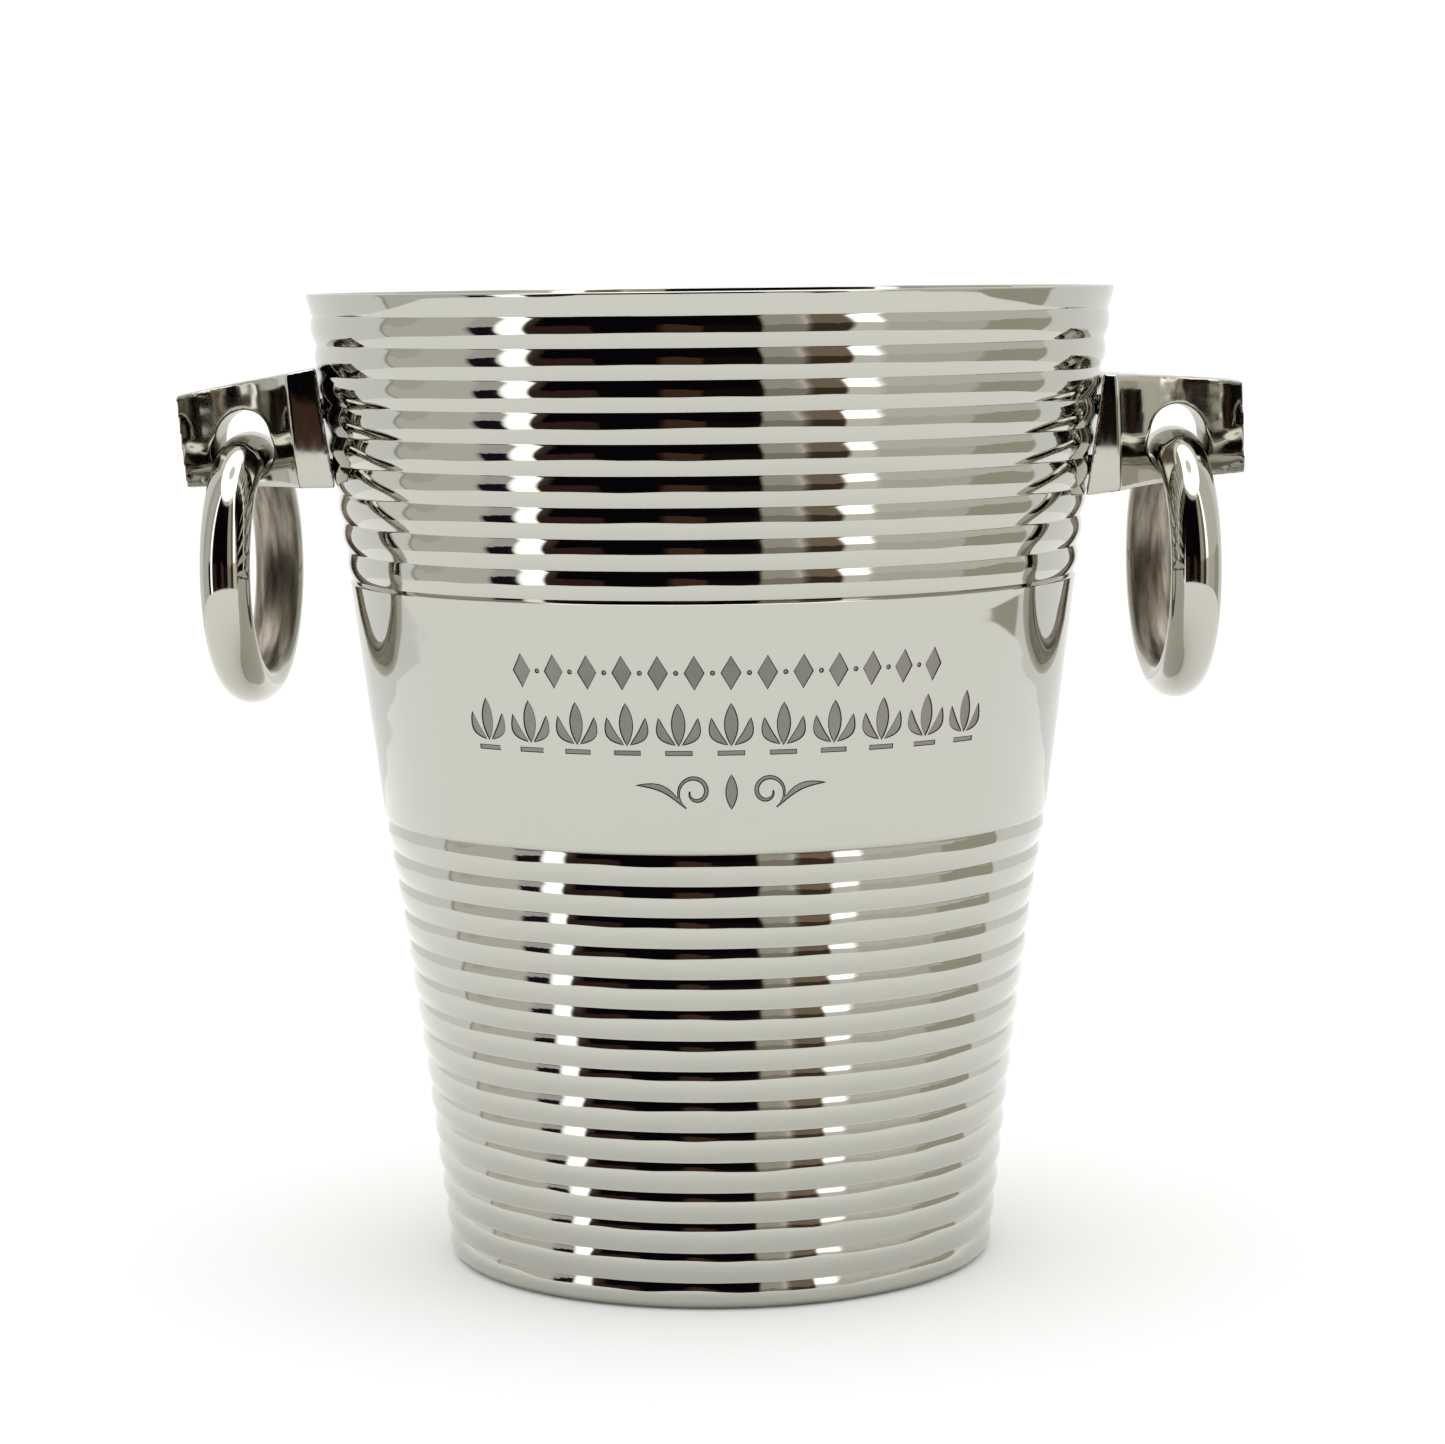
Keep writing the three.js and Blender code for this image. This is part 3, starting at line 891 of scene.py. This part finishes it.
    def mesh(self) -> Object:
        """Makes the turned body with the etched ornament let into its band."""
        profile, inner_from = self.outline()
        rows, columns, step = len(profile), self.around, 360 / self.around
        low, high = self.band_bottom + self.window_margin, self.band_top - self.window_margin
        band_rows = [i for i, (_, z) in enumerate(profile[:inner_from]) if low < z < high]
        first, last = band_rows[0], band_rows[-1]
        left, right = (round((self.etch_bearing + way * self.window_half) / step) for way in (-1, 1))
        draft = Draft()
        for column in range(columns):
            bearing = math.radians(column * step)
            for radius, z in profile:
                x, y = radius * math.sin(bearing), -radius * math.cos(bearing)
                draft.point((x * MM, y * MM, z * MM))
        foot_middle, floor_middle = draft.point((0, 0, 0)), draft.point((0, 0, self.floor * MM))
        window = {c % columns for c in range(left, right)}
        for column in range(columns):
            here, there = column * rows, ((column + 1) % columns) * rows
            for row in range(rows - 1):
                if column in window and first <= row < last:
                    continue
                skin = Skin.INSIDE if row >= inner_from else Skin.POLISHED
                draft.face((here + row, there + row, there + row + 1, here + row + 1), skin)
            draft.face((foot_middle, there, here), Skin.POLISHED)
            draft.face((floor_middle, here + rows - 1, there + rows - 1), Skin.INSIDE)
        border = [(c % columns) * rows + r for c in range(left, right + 1) for r in (first, last)]
        border += [(c % columns) * rows + r for c in (left, right) for r in range(first + 1, last)]
        loose = []
        for column in range(left + 1, right):
            loose += [(math.radians(column * step), z) for _, z in profile[first + 1 : last]]
        self.etch(draft, border, loose)
        shell = draft.build("bucket_shell_skin")
        outside = np.zeros(len(draft.points), dtype=np.float32)
        for column in range(columns):
            outside[column * rows : column * rows + inner_from] = 1.0
        outside[floor_middle + 1 :] = 1.0
        mark(shell, "outside", "FLOAT", outside)
        return shell

    def etch(self, draft: Draft, border: Sequence[int], loose: Sequence[Point]) -> None:
        """Fills the window in the band with a skin that has the ornament sunk into it.

        Args:
            draft: The shell so far, which gets the skin.
            border: Numbers of the shell's points round the window.
            loose: Bearing in radians and height of each other point that the skin takes.
        """
        middle = self.band_radius(self.band_middle)
        shift = math.radians(self.etch_bearing) * middle
        flat: list[Vector] = []
        for number in border:
            x, y, z = (value / MM for value in draft.points[number])
            flat.append(Vector((math.atan2(x, -y) * middle, z)))
        flat += [Vector((bearing * middle, z)) for bearing, z in loose]
        outlines: list[list[int]] = []
        for shape in self.ornament.shapes():
            start = len(flat)
            flat += [Vector((x + shift, y + self.band_middle)) for x, y in shape]
            outlines.append(list(range(start, len(flat))))
        points, _, triangles, origins, _, inside = delaunay_2d_cdt(flat, [], outlines, 0, 1e-5)
        numbers = []
        for point, origin in zip(points, origins):
            shared = [border[o] for o in origin if o < len(border)]
            numbers.append(shared[0] if shared else draft.point(self.place(point.x, point.y)))
        for triangle, within in zip(triangles, inside):
            flat_area = signed_area([points[c] for c in triangle])
            if not within and abs(flat_area) > self.smallest_face:
                draft.face((numbers[c] for c in triangle), Skin.POLISHED)
        sunk = [triangle for triangle, within in zip(triangles, inside) if within]
        self.sink(draft, points, numbers, sunk)

    def sink(
        self,
        draft: Draft,
        points: Sequence[Vector],
        numbers: Sequence[int],
        triangles: Sequence[Sequence[int]],
    ) -> None:
        """Lowers the ornament's faces and closes their sloping edges, which are coloured near-black as
        painted shade.

        Args:
            draft: The shell so far, which gets the faces.
            points: The flat points of the window.
            numbers: The shell's point for each of them.
            triangles: The faces to lower.
        """
        edges: dict[tuple[int, int], None] = {}
        for triangle in triangles:
            edges |= dict.fromkeys(zip(triangle, list(triangle[1:]) + [triangle[0]]))
        rim = [edge for edge in edges if (edge[1], edge[0]) not in edges]
        inward: dict[int, Vector] = {}
        for a, b in rim:
            along = (points[b] - points[a]).normalized()
            for corner in (a, b):
                inward[corner] = inward.get(corner, Vector((0, 0))) + Vector((-along.y, along.x))
        lowered: dict[int, int] = {}
        for corner in {c for triangle in triangles for c in triangle}:
            flat = points[corner].copy()
            if corner in inward:
                flat += inward[corner].normalized() * self.etch_edge
            lowered[corner] = draft.point(self.place(flat.x, flat.y, self.etch_depth))
        for triangle in triangles:
            draft.face((lowered[c] for c in triangle), Skin.ETCHED)
        for a, b in rim:
            draft.face((numbers[a], numbers[b], lowered[b], lowered[a]), Skin.ETCHED_EDGE)

    def raise_ribs(self, shell: Object) -> None:
        """Raises the ribs and the spinner's waviness on the turned body with Geometry Nodes.

        Args:
            shell: The turned body, whose "outside" attribute marks its outer face.
        """
        sizes = {
            "Lower bottom": self.foot_height * MM,
            "Lower top": self.band_bottom * MM,
            "Lower ribs": float(self.lower_ribs),
            "Upper bottom": self.band_top * MM,
            "Upper top": self.first_groove * MM,
            "Upper ribs": float(self.upper_ribs),
            "Rib height": self.rib_height * MM,
            "Groove round": self.groove_round,
            "Waviness": self.waviness * MM,
            "Seed": 4.0,
        }
        tree, given = new_tree("ribbed_wall", dict.fromkeys(sizes, "NodeSocketFloat"))
        place = add_node(tree, "GeometryNodeInputPosition").outputs[0]
        z = add_node(tree, "ShaderNodeSeparateXYZ", inputs={"Vector": place}).outputs["Z"]
        soft = given["Groove round"]
        lifts = []
        for zone in ("Lower", "Upper"):
            ends = (given[f"{zone} bottom"], given[f"{zone} top"])
            # The height counted in ribs, then the distance to the nearest groove, from 0 to a half.
            away = sums(tree, "PINGPONG", spread(tree, z, ends, (0.0, given[f"{zone} ribs"])), 0.5)
            squares = [sums(tree, "POWER", side, 2.0) for side in (away, soft)]
            eased = sums(tree, "SUBTRACT", sums(tree, "SQRT", sums(tree, "ADD", *squares)), soft)
            bow = sums(tree, "MULTIPLY", eased, sums(tree, "SUBTRACT", 1.0, eased))
            lifts.append(sums(tree, "MULTIPLY", bow, 4.0))
        ribs = sums(tree, "MULTIPLY", sums(tree, "ADD", *lifts), given["Rib height"])
        # The wheel leaves slow waves that run round the wall and change from rib to rib.
        round_wall, up_wall = self.wave_lengths
        squash = (1 / (round_wall * MM), 1 / (round_wall * MM), 1 / (up_wall * MM))
        squashed = vector_sums(tree, "MULTIPLY", place, squash)
        inputs = {"Vector": squashed, "W": given["Seed"], "Scale": 1.0, "Detail": 1.0}
        waves = add_node(tree, "ShaderNodeTexNoise", {"noise_dimensions": "4D"}, inputs).outputs[0]
        wave = sums(tree, "MULTIPLY", sums(tree, "SUBTRACT", waves, 0.5), given["Waviness"])
        summed = sums(tree, "ADD", ribs, sums(tree, "MULTIPLY", wave, 2.0))
        lift = sums(tree, "MULTIPLY", summed, stored(tree, "outside", "FLOAT"))
        way = vector_sums(tree, "NORMALIZE", vector_sums(tree, "MULTIPLY", place, (1.0, 1.0, 0.0)))
        inputs = {0: way, "Scale": lift}
        offset = add_node(tree, "ShaderNodeVectorMath", {"operation": "SCALE"}, inputs).outputs[0]
        inputs = {"Geometry": given["Geometry"], "Offset": offset}
        moved = add_node(tree, "GeometryNodeSetPosition", inputs=inputs)
        real = add_node(tree, "GeometryNodeRealizeInstances", inputs={0: moved.outputs[0]})
        run_tree(shell, tree, real.outputs[0], sizes)


def new_tree(name: str, inputs: dict[str, str]) -> tuple[Tree, Any]:
    """Makes a Geometry Nodes tree.

    Args:
        name: The tree's name.
        inputs: Names and socket types of its inputs besides the geometry.

    Returns:
        The tree and the sockets that give its inputs, by name.
    """
    tree = bpy.data.node_groups.new(name, "GeometryNodeTree")
    for way in ("INPUT", "OUTPUT"):
        tree.interface.new_socket("Geometry", in_out=way, socket_type="NodeSocketGeometry")
    for word, kind in inputs.items():
        tree.interface.new_socket(word, in_out="INPUT", socket_type=kind)
    return tree, add_node(tree, "NodeGroupInput").outputs


def stored(tree: Tree, name: str, kind: str) -> Socket:
    """Reads what mark() stored on the points."""
    inputs = {"Name": name}
    return add_node(tree, "GeometryNodeInputNamedAttribute", {"data_type": kind}, inputs).outputs[0]


def run_tree(obj: Object, tree: Tree, result: Socket, values: dict[str, Any]) -> None:
    """Runs a Geometry Nodes tree on an object and keeps the result as plain mesh.

    Args:
        obj: The object.
        tree: The tree.
        result: The geometry that the tree gives.
        values: The tree's named inputs.
    """
    add_node(tree, "NodeGroupOutput", inputs={0: result})
    modifier = obj.modifiers.new(tree.name, "NODES")
    modifier.node_group = tree
    for item in tree.interface.items_tree:
        if item.item_type == "SOCKET" and item.in_out == "INPUT" and item.name in values:
            modifier[item.identifier] = values[item.name]
    settle(obj)


# ---------------------------------------------------------------- handles


class Side(Enum):
    """The two sides of the bucket, with the turn that brings +X outwards there."""

    LEFT = math.pi
    RIGHT = 0.0

    @property
    def word(self) -> str:
        """The side's name as its nodes use it."""
        return self.name.lower()

    @property
    def joint(self) -> dict[str, Any]:
        """The ring's joint on this side."""
        return next(j for j in frame["joints"] if j["name"] == f"{self.word}_ring_swing")

    @property
    def hinge(self) -> Vector:
        """The hinge in metres, in the handle's own frame."""
        return Matrix.Rotation(-self.value, 3, "Z") @ Vector(self.joint["pos_m"])

    @property
    def skew(self) -> float:
        """The angle in radians that the hinge line makes with the handle's own Y axis."""
        line = Matrix.Rotation(-self.value, 3, "Z") @ Vector(self.joint["axis"])
        return math.atan2(-line.x, line.y) if line.y > 0 else math.atan2(line.x, -line.y)

    @property
    def turn(self) -> Matrix:
        """The turn from the handle's own frame to the bucket's."""
        return Matrix.Rotation(self.value, 4, "Z")


@dataclass
class Ring:
    """A closed ring, polished outside and raw inside. Sizes are in millimetres."""

    side: Side
    half_width: float = 6.2
    outer_bulge: float = 5.9
    inner_bulge: float = 3.3
    squareness: float = 0.72
    around: int = 288
    section_steps: int = 56
    outer_wave: float = 0.06
    inner_lump: float = 0.28
    raw_from: float = 0.42  # how far in on the tube its skin starts to be raw
    raw_over: float = 0.2  # and over how much more it gets quite raw

    def build(self) -> None:
        """Makes the finished ring."""
        ring = self.mesh()
        finish = CastNickel(f"{self.side.word}_ring_nickel", raw_colour="#a59d90")
        ring.data.materials.append(finish.material())
        shade(ring, 60)
        dress(ring, f"{self.side.word}_ring", "polished_nickel", f"{self.side.word}_ring")

    def mesh(self) -> Object:
        """Sweeps the section round the ring, with the marks of the file and the mould on it."""
        low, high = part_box(f"{self.side.word}_ring")
        outer = (high[2] - low[2]) / 2 / MM
        middle = outer - self.outer_bulge
        drop = Vector((0, 0, (high[2] + low[2]) / 2 - self.side.hinge.z))
        place = (
            self.side.turn
            @ Matrix.Translation(self.side.hinge + drop)
            @ Matrix.Rotation(self.side.skew, 4, "Z")
        )
        seed = Vector((3.7, 0, 0)) if self.side is Side.LEFT else Vector((0, 8.1, 0))
        vertices, raw_and_shade_values, along = [], [], []
        for step in range(self.around):
            around = 2 * math.pi * step / self.around
            for part in range(self.section_steps):
                angle = 2 * math.pi * part / self.section_steps
                across, out = math.cos(angle), math.sin(angle)
                raw = max(0.0, min(1.0, (-out - self.raw_from) / self.raw_over))
                if out >= 0:
                    radius, width = middle + self.outer_bulge * out, self.half_width * across
                else:
                    flat = math.copysign(abs(across) ** self.squareness, across)
                    radius, width = middle + self.inner_bulge * out, self.half_width * flat
                point = Vector((width, radius * math.sin(around), radius * math.cos(around)))
                slow = noise.noise(point * 0.07 + seed) * self.outer_wave
                filed = Vector((width * 0.5, middle * abs(around - math.pi) * 0.05, 0.0)) + seed
                lump = noise.noise(filed) * 0.7 + noise.noise(filed * 2.7) * 0.3
                radius += slow - abs(lump) * self.inner_lump * raw
                point = Vector((width, radius * math.sin(around), radius * math.cos(around)))
                vertices.append(place @ (point * MM))
                raw_and_shade_values.append(raw)
                # Out to half the way round and back, so that no seam shows.
                along += (width, middle * abs(around - math.pi), radius)
        faces = belt(self.section_steps, self.around)
        ring = mesh_object(f"{self.side.word}_ring_skin", vertices, faces)
        face_outwards(ring)
        mark(ring, "raw", "FLOAT", raw_and_shade_values)
        mark(ring, "along", "FLOAT_VECTOR", along)
        return ring


@dataclass
class Lug:
    """A cast lug: a flange, a hollow waist with an eased hole, and a blunt end.

    Sizes are in millimetres, from the hinge, in the handle's own frame.
    """

    side: Side
    shell: Shell
    from_wall: float = 20.3
    crease_out: float = 2.95
    crease_reach: float = 9.0
    end_half_depth: float = 14.5
    waist_half_depth: float = 5.0
    flange_half_depth: float = 16.0
    middle_rise: float = 3.95
    half_height: float = 12.95
    taper: float = 0.098
    flare_sag: float = 2.2
    gap: float = 0.35
    hole_radius: float = 6.95
    hole_rise: float = 3.1
    ring_drop: float = 29.4
    lean: float = -0.1  # share of the depth that the faces lose from the bottom to the top
    crown: float = 0.08  # share that they lose at the top and again at the bottom
    voxel: float = 0.34
    smoothing: int = 28
    lump: float = 0.08
    unpolished: float = 0.4  # how raw the waist is left, and how much painted shade its crease gets
    bore_raw: float = 0.7  # how much painted shade the hole gets, to some depth from its middle and some way round it
    bore_half_depth: float = 4.5
    bore_round: float = 0.8

    def __post_init__(self) -> None:
        """Sets what the two castings don't share."""
        left = self.side is Side.LEFT
        self.tilt = 5.0 if left else -1.9
        self.flange = 7.8 if left else 5.6
        self.out = 15.05 if left else 16.1

    def plan(self) -> list[Point]:
        """The outline seen from above."""
        ridge = self.flange - self.from_wall
        start = (ridge, self.flange_half_depth)
        crease = (self.crease_out, self.waist_half_depth)
        end = (self.out, self.end_half_depth)
        back = (-self.from_wall - self.flange_half_depth, self.flange_half_depth)
        half = [back, start, *self.flare(start, crease), crease, *self.flare(crease, end), end]
        return half + [(x, -y) for x, y in reversed(half)]

    def flare(self, start: Point, end: Point, steps: int = 20) -> list[Point]:
        """Points of a hollow curve between two corners, without the corners."""
        length = math.dist(start, end)
        run, rise = end[0] - start[0], end[1] - start[1]
        points = []
        for step in range(1, steps):
            share = step / steps
            sag = -self.flare_sag * 4 * share * (1 - share)
            x = start[0] + run * share + -rise / length * sag
            points.append((x, start[1] + rise * share + run / length * sag))
        return points

    def elevation(self) -> list[Point]:
        """The outline seen from the front."""
        inner = -self.from_wall - self.flange_half_depth
        corners = []
        for x, way in ((inner, -1), (self.out, -1), (self.out, 1), (inner, 1)):
            corners.append((x, self.middle_rise + way * (self.half_height - self.taper * x)))
        return corners

    def block(self) -> Object:
        """The lug before it is drilled and fitted."""
        block = drawn_out(f"{self.side.word}_lug_skin", self.plan(), self.half_height * 6)
        front = drawn_out("front", self.elevation(), self.flange_half_depth * 4)
        move(front, Matrix.Rotation(math.pi / 2, 4, "X"))
        cut(block, front, Cut.SHARED)
        move(block, Matrix.Rotation(math.radians(self.tilt), 4, "Y"))
        return block

    def hole(self) -> Object:
        """The solid of the through hole: a slot, eased at both mouths."""
        radius = self.hole_radius
        upper = arc((0, self.hole_rise), radius, 0, 180, 24)
        lower = arc((0, 0), radius, 180, 360, 24)
        slot = drawn_out("slot", upper + lower, self.flange_half_depth * 4)
        reach = self.flange_half_depth
        profile = [(0.0, -reach)]
        for share in np.linspace(-1, 1, 25):
            bend = self.ring_drop - math.sqrt(self.ring_drop**2 - (share * reach) ** 2)
            profile.append((radius + bend, float(share) * reach))
        profile.append((0.0, reach))
        cut(slot, turned("mouths", profile, 64), Cut.JOINED)
        move(slot, Matrix.Rotation(self.side.skew, 4, "Z") @ Matrix.Rotation(math.pi / 2, 4, "X"))
        return slot

    def wall_space(self) -> Object:
        """The solid that the bucket's wall and its fitting gap take up."""
        heights = (self.shell.band_top - 20, self.shell.band_top, self.shell.height + 20)
        profile = [(0.0, heights[0])]
        for z in heights:
            profile.append((self.shell.groove_radius(z) + self.shell.rib_height + self.gap, z))
        profile.append((0.0, heights[2]))
        return turned("wall_space", profile, 192)

    def build(self) -> None:
        """Makes the finished lug."""
        lug = self.block()
        cut(lug, self.hole(), Cut.AWAY)
        move(lug, Matrix.Translation(self.side.hinge))
        cut(lug, self.wall_space(), Cut.AWAY)
        self.polish(lug)
        move(lug, self.side.turn)
        finish = CastNickel(f"{self.side.word}_lug_nickel", haze=0.09)
        lug.data.materials.clear()
        lug.data.materials.append(finish.material())
        shade(lug, 180)
        dress(lug, "bucket", "cast_nickel", f"{self.side.word}_lug")

    def polish(self, lug: Object) -> None:
        """Rounds the lug's edges, gives it the soft unevenness of a hand-polished casting, and marks its
        raw skin and its painted shade.
        """
        remesh = lug.modifiers.new("cast", "REMESH")
        remesh.mode = "VOXEL"
        remesh.voxel_size = self.voxel * MM
        smooth = lug.modifiers.new("polish", "SMOOTH")
        smooth.factor = 0.5
        smooth.iterations = self.smoothing
        settle(lug)
        lug.data.polygons.foreach_set("use_smooth", [True] * len(lug.data.polygons))
        seed = Vector((5.0, 2.0, 1.0)) if self.side is Side.LEFT else Vector((1.0, 6.0, 4.0))
        normals = [v.normal.copy() for v in lug.data.vertices]
        raw_and_shade_values, along = [], []
        across, up = self.side.hinge.x / MM, self.side.hinge.z / MM
        centre = up + self.middle_rise
        for vertex, normal in zip(lug.data.vertices, normals):
            point = vertex.co / MM
            rise = (point.z - centre) / self.half_height
            slow = noise.noise(point * 0.11 + seed) * self.lump
            crease = max(0.0, 1 - abs(point.x - across - self.crease_out) / self.crease_reach)
            upper = max(0.0, rise)
            rough = noise.noise(point * 0.3 + seed) * self.lump * 4 * crease * upper
            vertex.co += normal * (slow * 0.5 + rough) * MM
            vertex.co.y *= 1 - self.lean * (rise + 1) / 2 - self.crown * rise**2
            # Painted shade: the hole and the waist's crease get the darker, browner skin colour; at the
            # waist it also stands for raw skin.
            inside = math.hypot(point.x - across, point.z - up)
            in_bore = inside < self.hole_radius + self.bore_round and abs(point.y) < self.bore_half_depth
            waist = self.unpolished * min(1.0, crease * 1.6)
            raw_and_shade_values.append(max(self.bore_raw if in_bore else 0.0, waist))
            along += tuple(point)
        mark(lug, "raw", "FLOAT", raw_and_shade_values)
        mark(lug, "along", "FLOAT_VECTOR", along)


@dataclass
class Fasteners:
    """The slotted screws and washers that hold the lugs, seen inside the bucket."""

    head_radius: float = 4.7
    head_height: float = 3.0
    shank_radius: float = 2.5
    length: float = 13.0
    slot_width: float = 1.2
    slot_depth: float = 1.3
    washer_radius: float = 5.6
    washer_thickness: float = 1.0
    seat_gap: float = 0.3
    broken_edge: float = 0.15
    point: float = 0.8
    end_points: int = 12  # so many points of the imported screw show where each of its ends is

    def build(self) -> None:
        """Makes all the screws as one piece and all the washers as another."""
        screw_steel = TurnedSteel("turned_stainless_steel", "#bdbcb8", 0.24)
        washer_steel = TurnedSteel("stamped_stainless_steel", "#a9a9a6", 0.36)
        self.repeat(self.screw(), "screw", screw_steel.material())
        self.repeat(self.washer(), "washer", washer_steel.material())

    def screw(self) -> Object:
        """One screw, its head below zero and its shank along +Z."""
        seat = -self.seat_gap * 2 - self.washer_thickness
        top = seat - self.head_height
        dome = [(0.0, top)]
        for share in np.linspace(0.1, 1, 9):
            rise = 1 - math.sqrt(max(0.0, 1 - float(share) ** 2.6))
            dome.append((self.head_radius * float(share), top + self.head_height * 0.75 * rise))
        profile = dome + [
            (self.head_radius, seat - self.broken_edge),
            (self.head_radius - self.broken_edge, seat),
            (self.shank_radius, seat),
            (self.shank_radius, self.length - self.point),
            (self.shank_radius - self.point, self.length),
            (0.0, self.length),
        ]
        screw = turned("one_screw", profile, 64)
        half, long = self.slot_width / 2, self.head_radius * 1.1
        corners = [(-long, -half), (long, -half), (long, half), (-long, half)]
        slot = drawn_out("slot", corners, self.slot_depth * 2)
        move(slot, Matrix.Translation((0, 0, top * MM)))
        cut(screw, slot, Cut.AWAY)
        return screw

    def washer(self) -> Object:
        """One washer with a broken edge."""
        hole = self.shank_radius + 0.3
        back = -self.seat_gap
        front = back - self.washer_thickness
        edge = self.broken_edge
        profile = [
            (hole, front),
            (self.washer_radius - edge, front),
            (self.washer_radius, front + edge),
            (self.washer_radius, back),
            (hole, back),
        ]
        return turned("one_washer", profile, 64)

    def repeat(self, one: Object, word: str, material: bpy.types.Material) -> None:
        """Sets one fastener in each of its four places with Geometry Nodes.

        Args:
            one: The fastener on its own axis.
            word: The last word of its nodes' names.
            material: Its material.
        """
        nodes = [f"{side.word}_{level}_{word}" for side in Side for level in ("lower", "upper")]
        points, turns = [], []
        for node in nodes:
            place = self.place_of(node)
            points.append(place.translation)
            turns.append(place.to_euler())
        holder = mesh_object(f"lug_{word}s", points, [])
        mark(holder, "turn", "FLOAT_VECTOR", [angle for turn in turns for angle in turn])
        kinds = {"Fastener": "NodeSocketObject", "Finish": "NodeSocketMaterial"}
        tree, given = new_tree(f"{word}_places", kinds)
        copied = add_node(tree, "GeometryNodeObjectInfo", inputs={"Object": given["Fastener"]})
        inputs = {
            "Points": given["Geometry"],
            "Instance": copied.outputs["Geometry"],
            "Rotation": stored(tree, "turn", "FLOAT_VECTOR"),
        }
        placed = add_node(tree, "GeometryNodeInstanceOnPoints", inputs=inputs)
        real = add_node(tree, "GeometryNodeRealizeInstances", inputs={0: placed.outputs[0]})
        inputs = {"Geometry": real.outputs[0], "Material": given["Finish"]}
        finished = add_node(tree, "GeometryNodeSetMaterial", inputs=inputs)
        run_tree(holder, tree, finished.outputs[0], {"Fastener": one, "Finish": material})
        bpy.data.objects.remove(one)
        shade(holder, 30)
        dress(holder, "bucket", f"{word}_steel", *nodes)

    def place_of(self, node: str) -> Matrix:
        """Where a fastener sits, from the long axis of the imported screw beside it.

        Args:
            node: The fastener's node.

        Returns:
            Its place and turn: +Z runs outwards through the wall.
        """
        screw = node.replace("washer", "screw")
        low, high = (np.array(c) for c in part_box(screw))
        mesh = frame["nodes"][screw].data
        points = np.array([v.co for v in mesh.vertices])
        way = -1.0 if screw.startswith("left") else 1.0
        outwards = np.argsort(points[:, 0] * way)
        tip = points[outwards[-self.end_points :]].mean(axis=0)
        head = points[outwards[: self.end_points]].mean(axis=0)
        tip[1] = head[1] = (low[1] + high[1]) / 2
        axis = Vector(tip - head)
        lean = math.atan2(-axis.z, abs(axis.x))
        turn = Matrix.Rotation(math.pi, 4, "Z") if way < 0 else Matrix.Identity(4)
        turn = turn @ Matrix.Rotation(math.pi / 2 + lean, 4, "Y")
        long = turn.to_3x3() @ Vector((0, 0, self.length * MM))
        return Matrix.Translation(Vector(tip) - long) @ turn


def main() -> None:
    """Builds the studio and the bucket, piece by piece."""
    view = bpy.context.scene.view_settings
    view.view_transform = "Standard"
    Studio().build()
    shell = Shell()
    shell.build()
    for side in Side:
        Lug(side, shell).build()
        Ring(side).build()
    Fasteners().build()


if __name__ == "__main__":
    main()
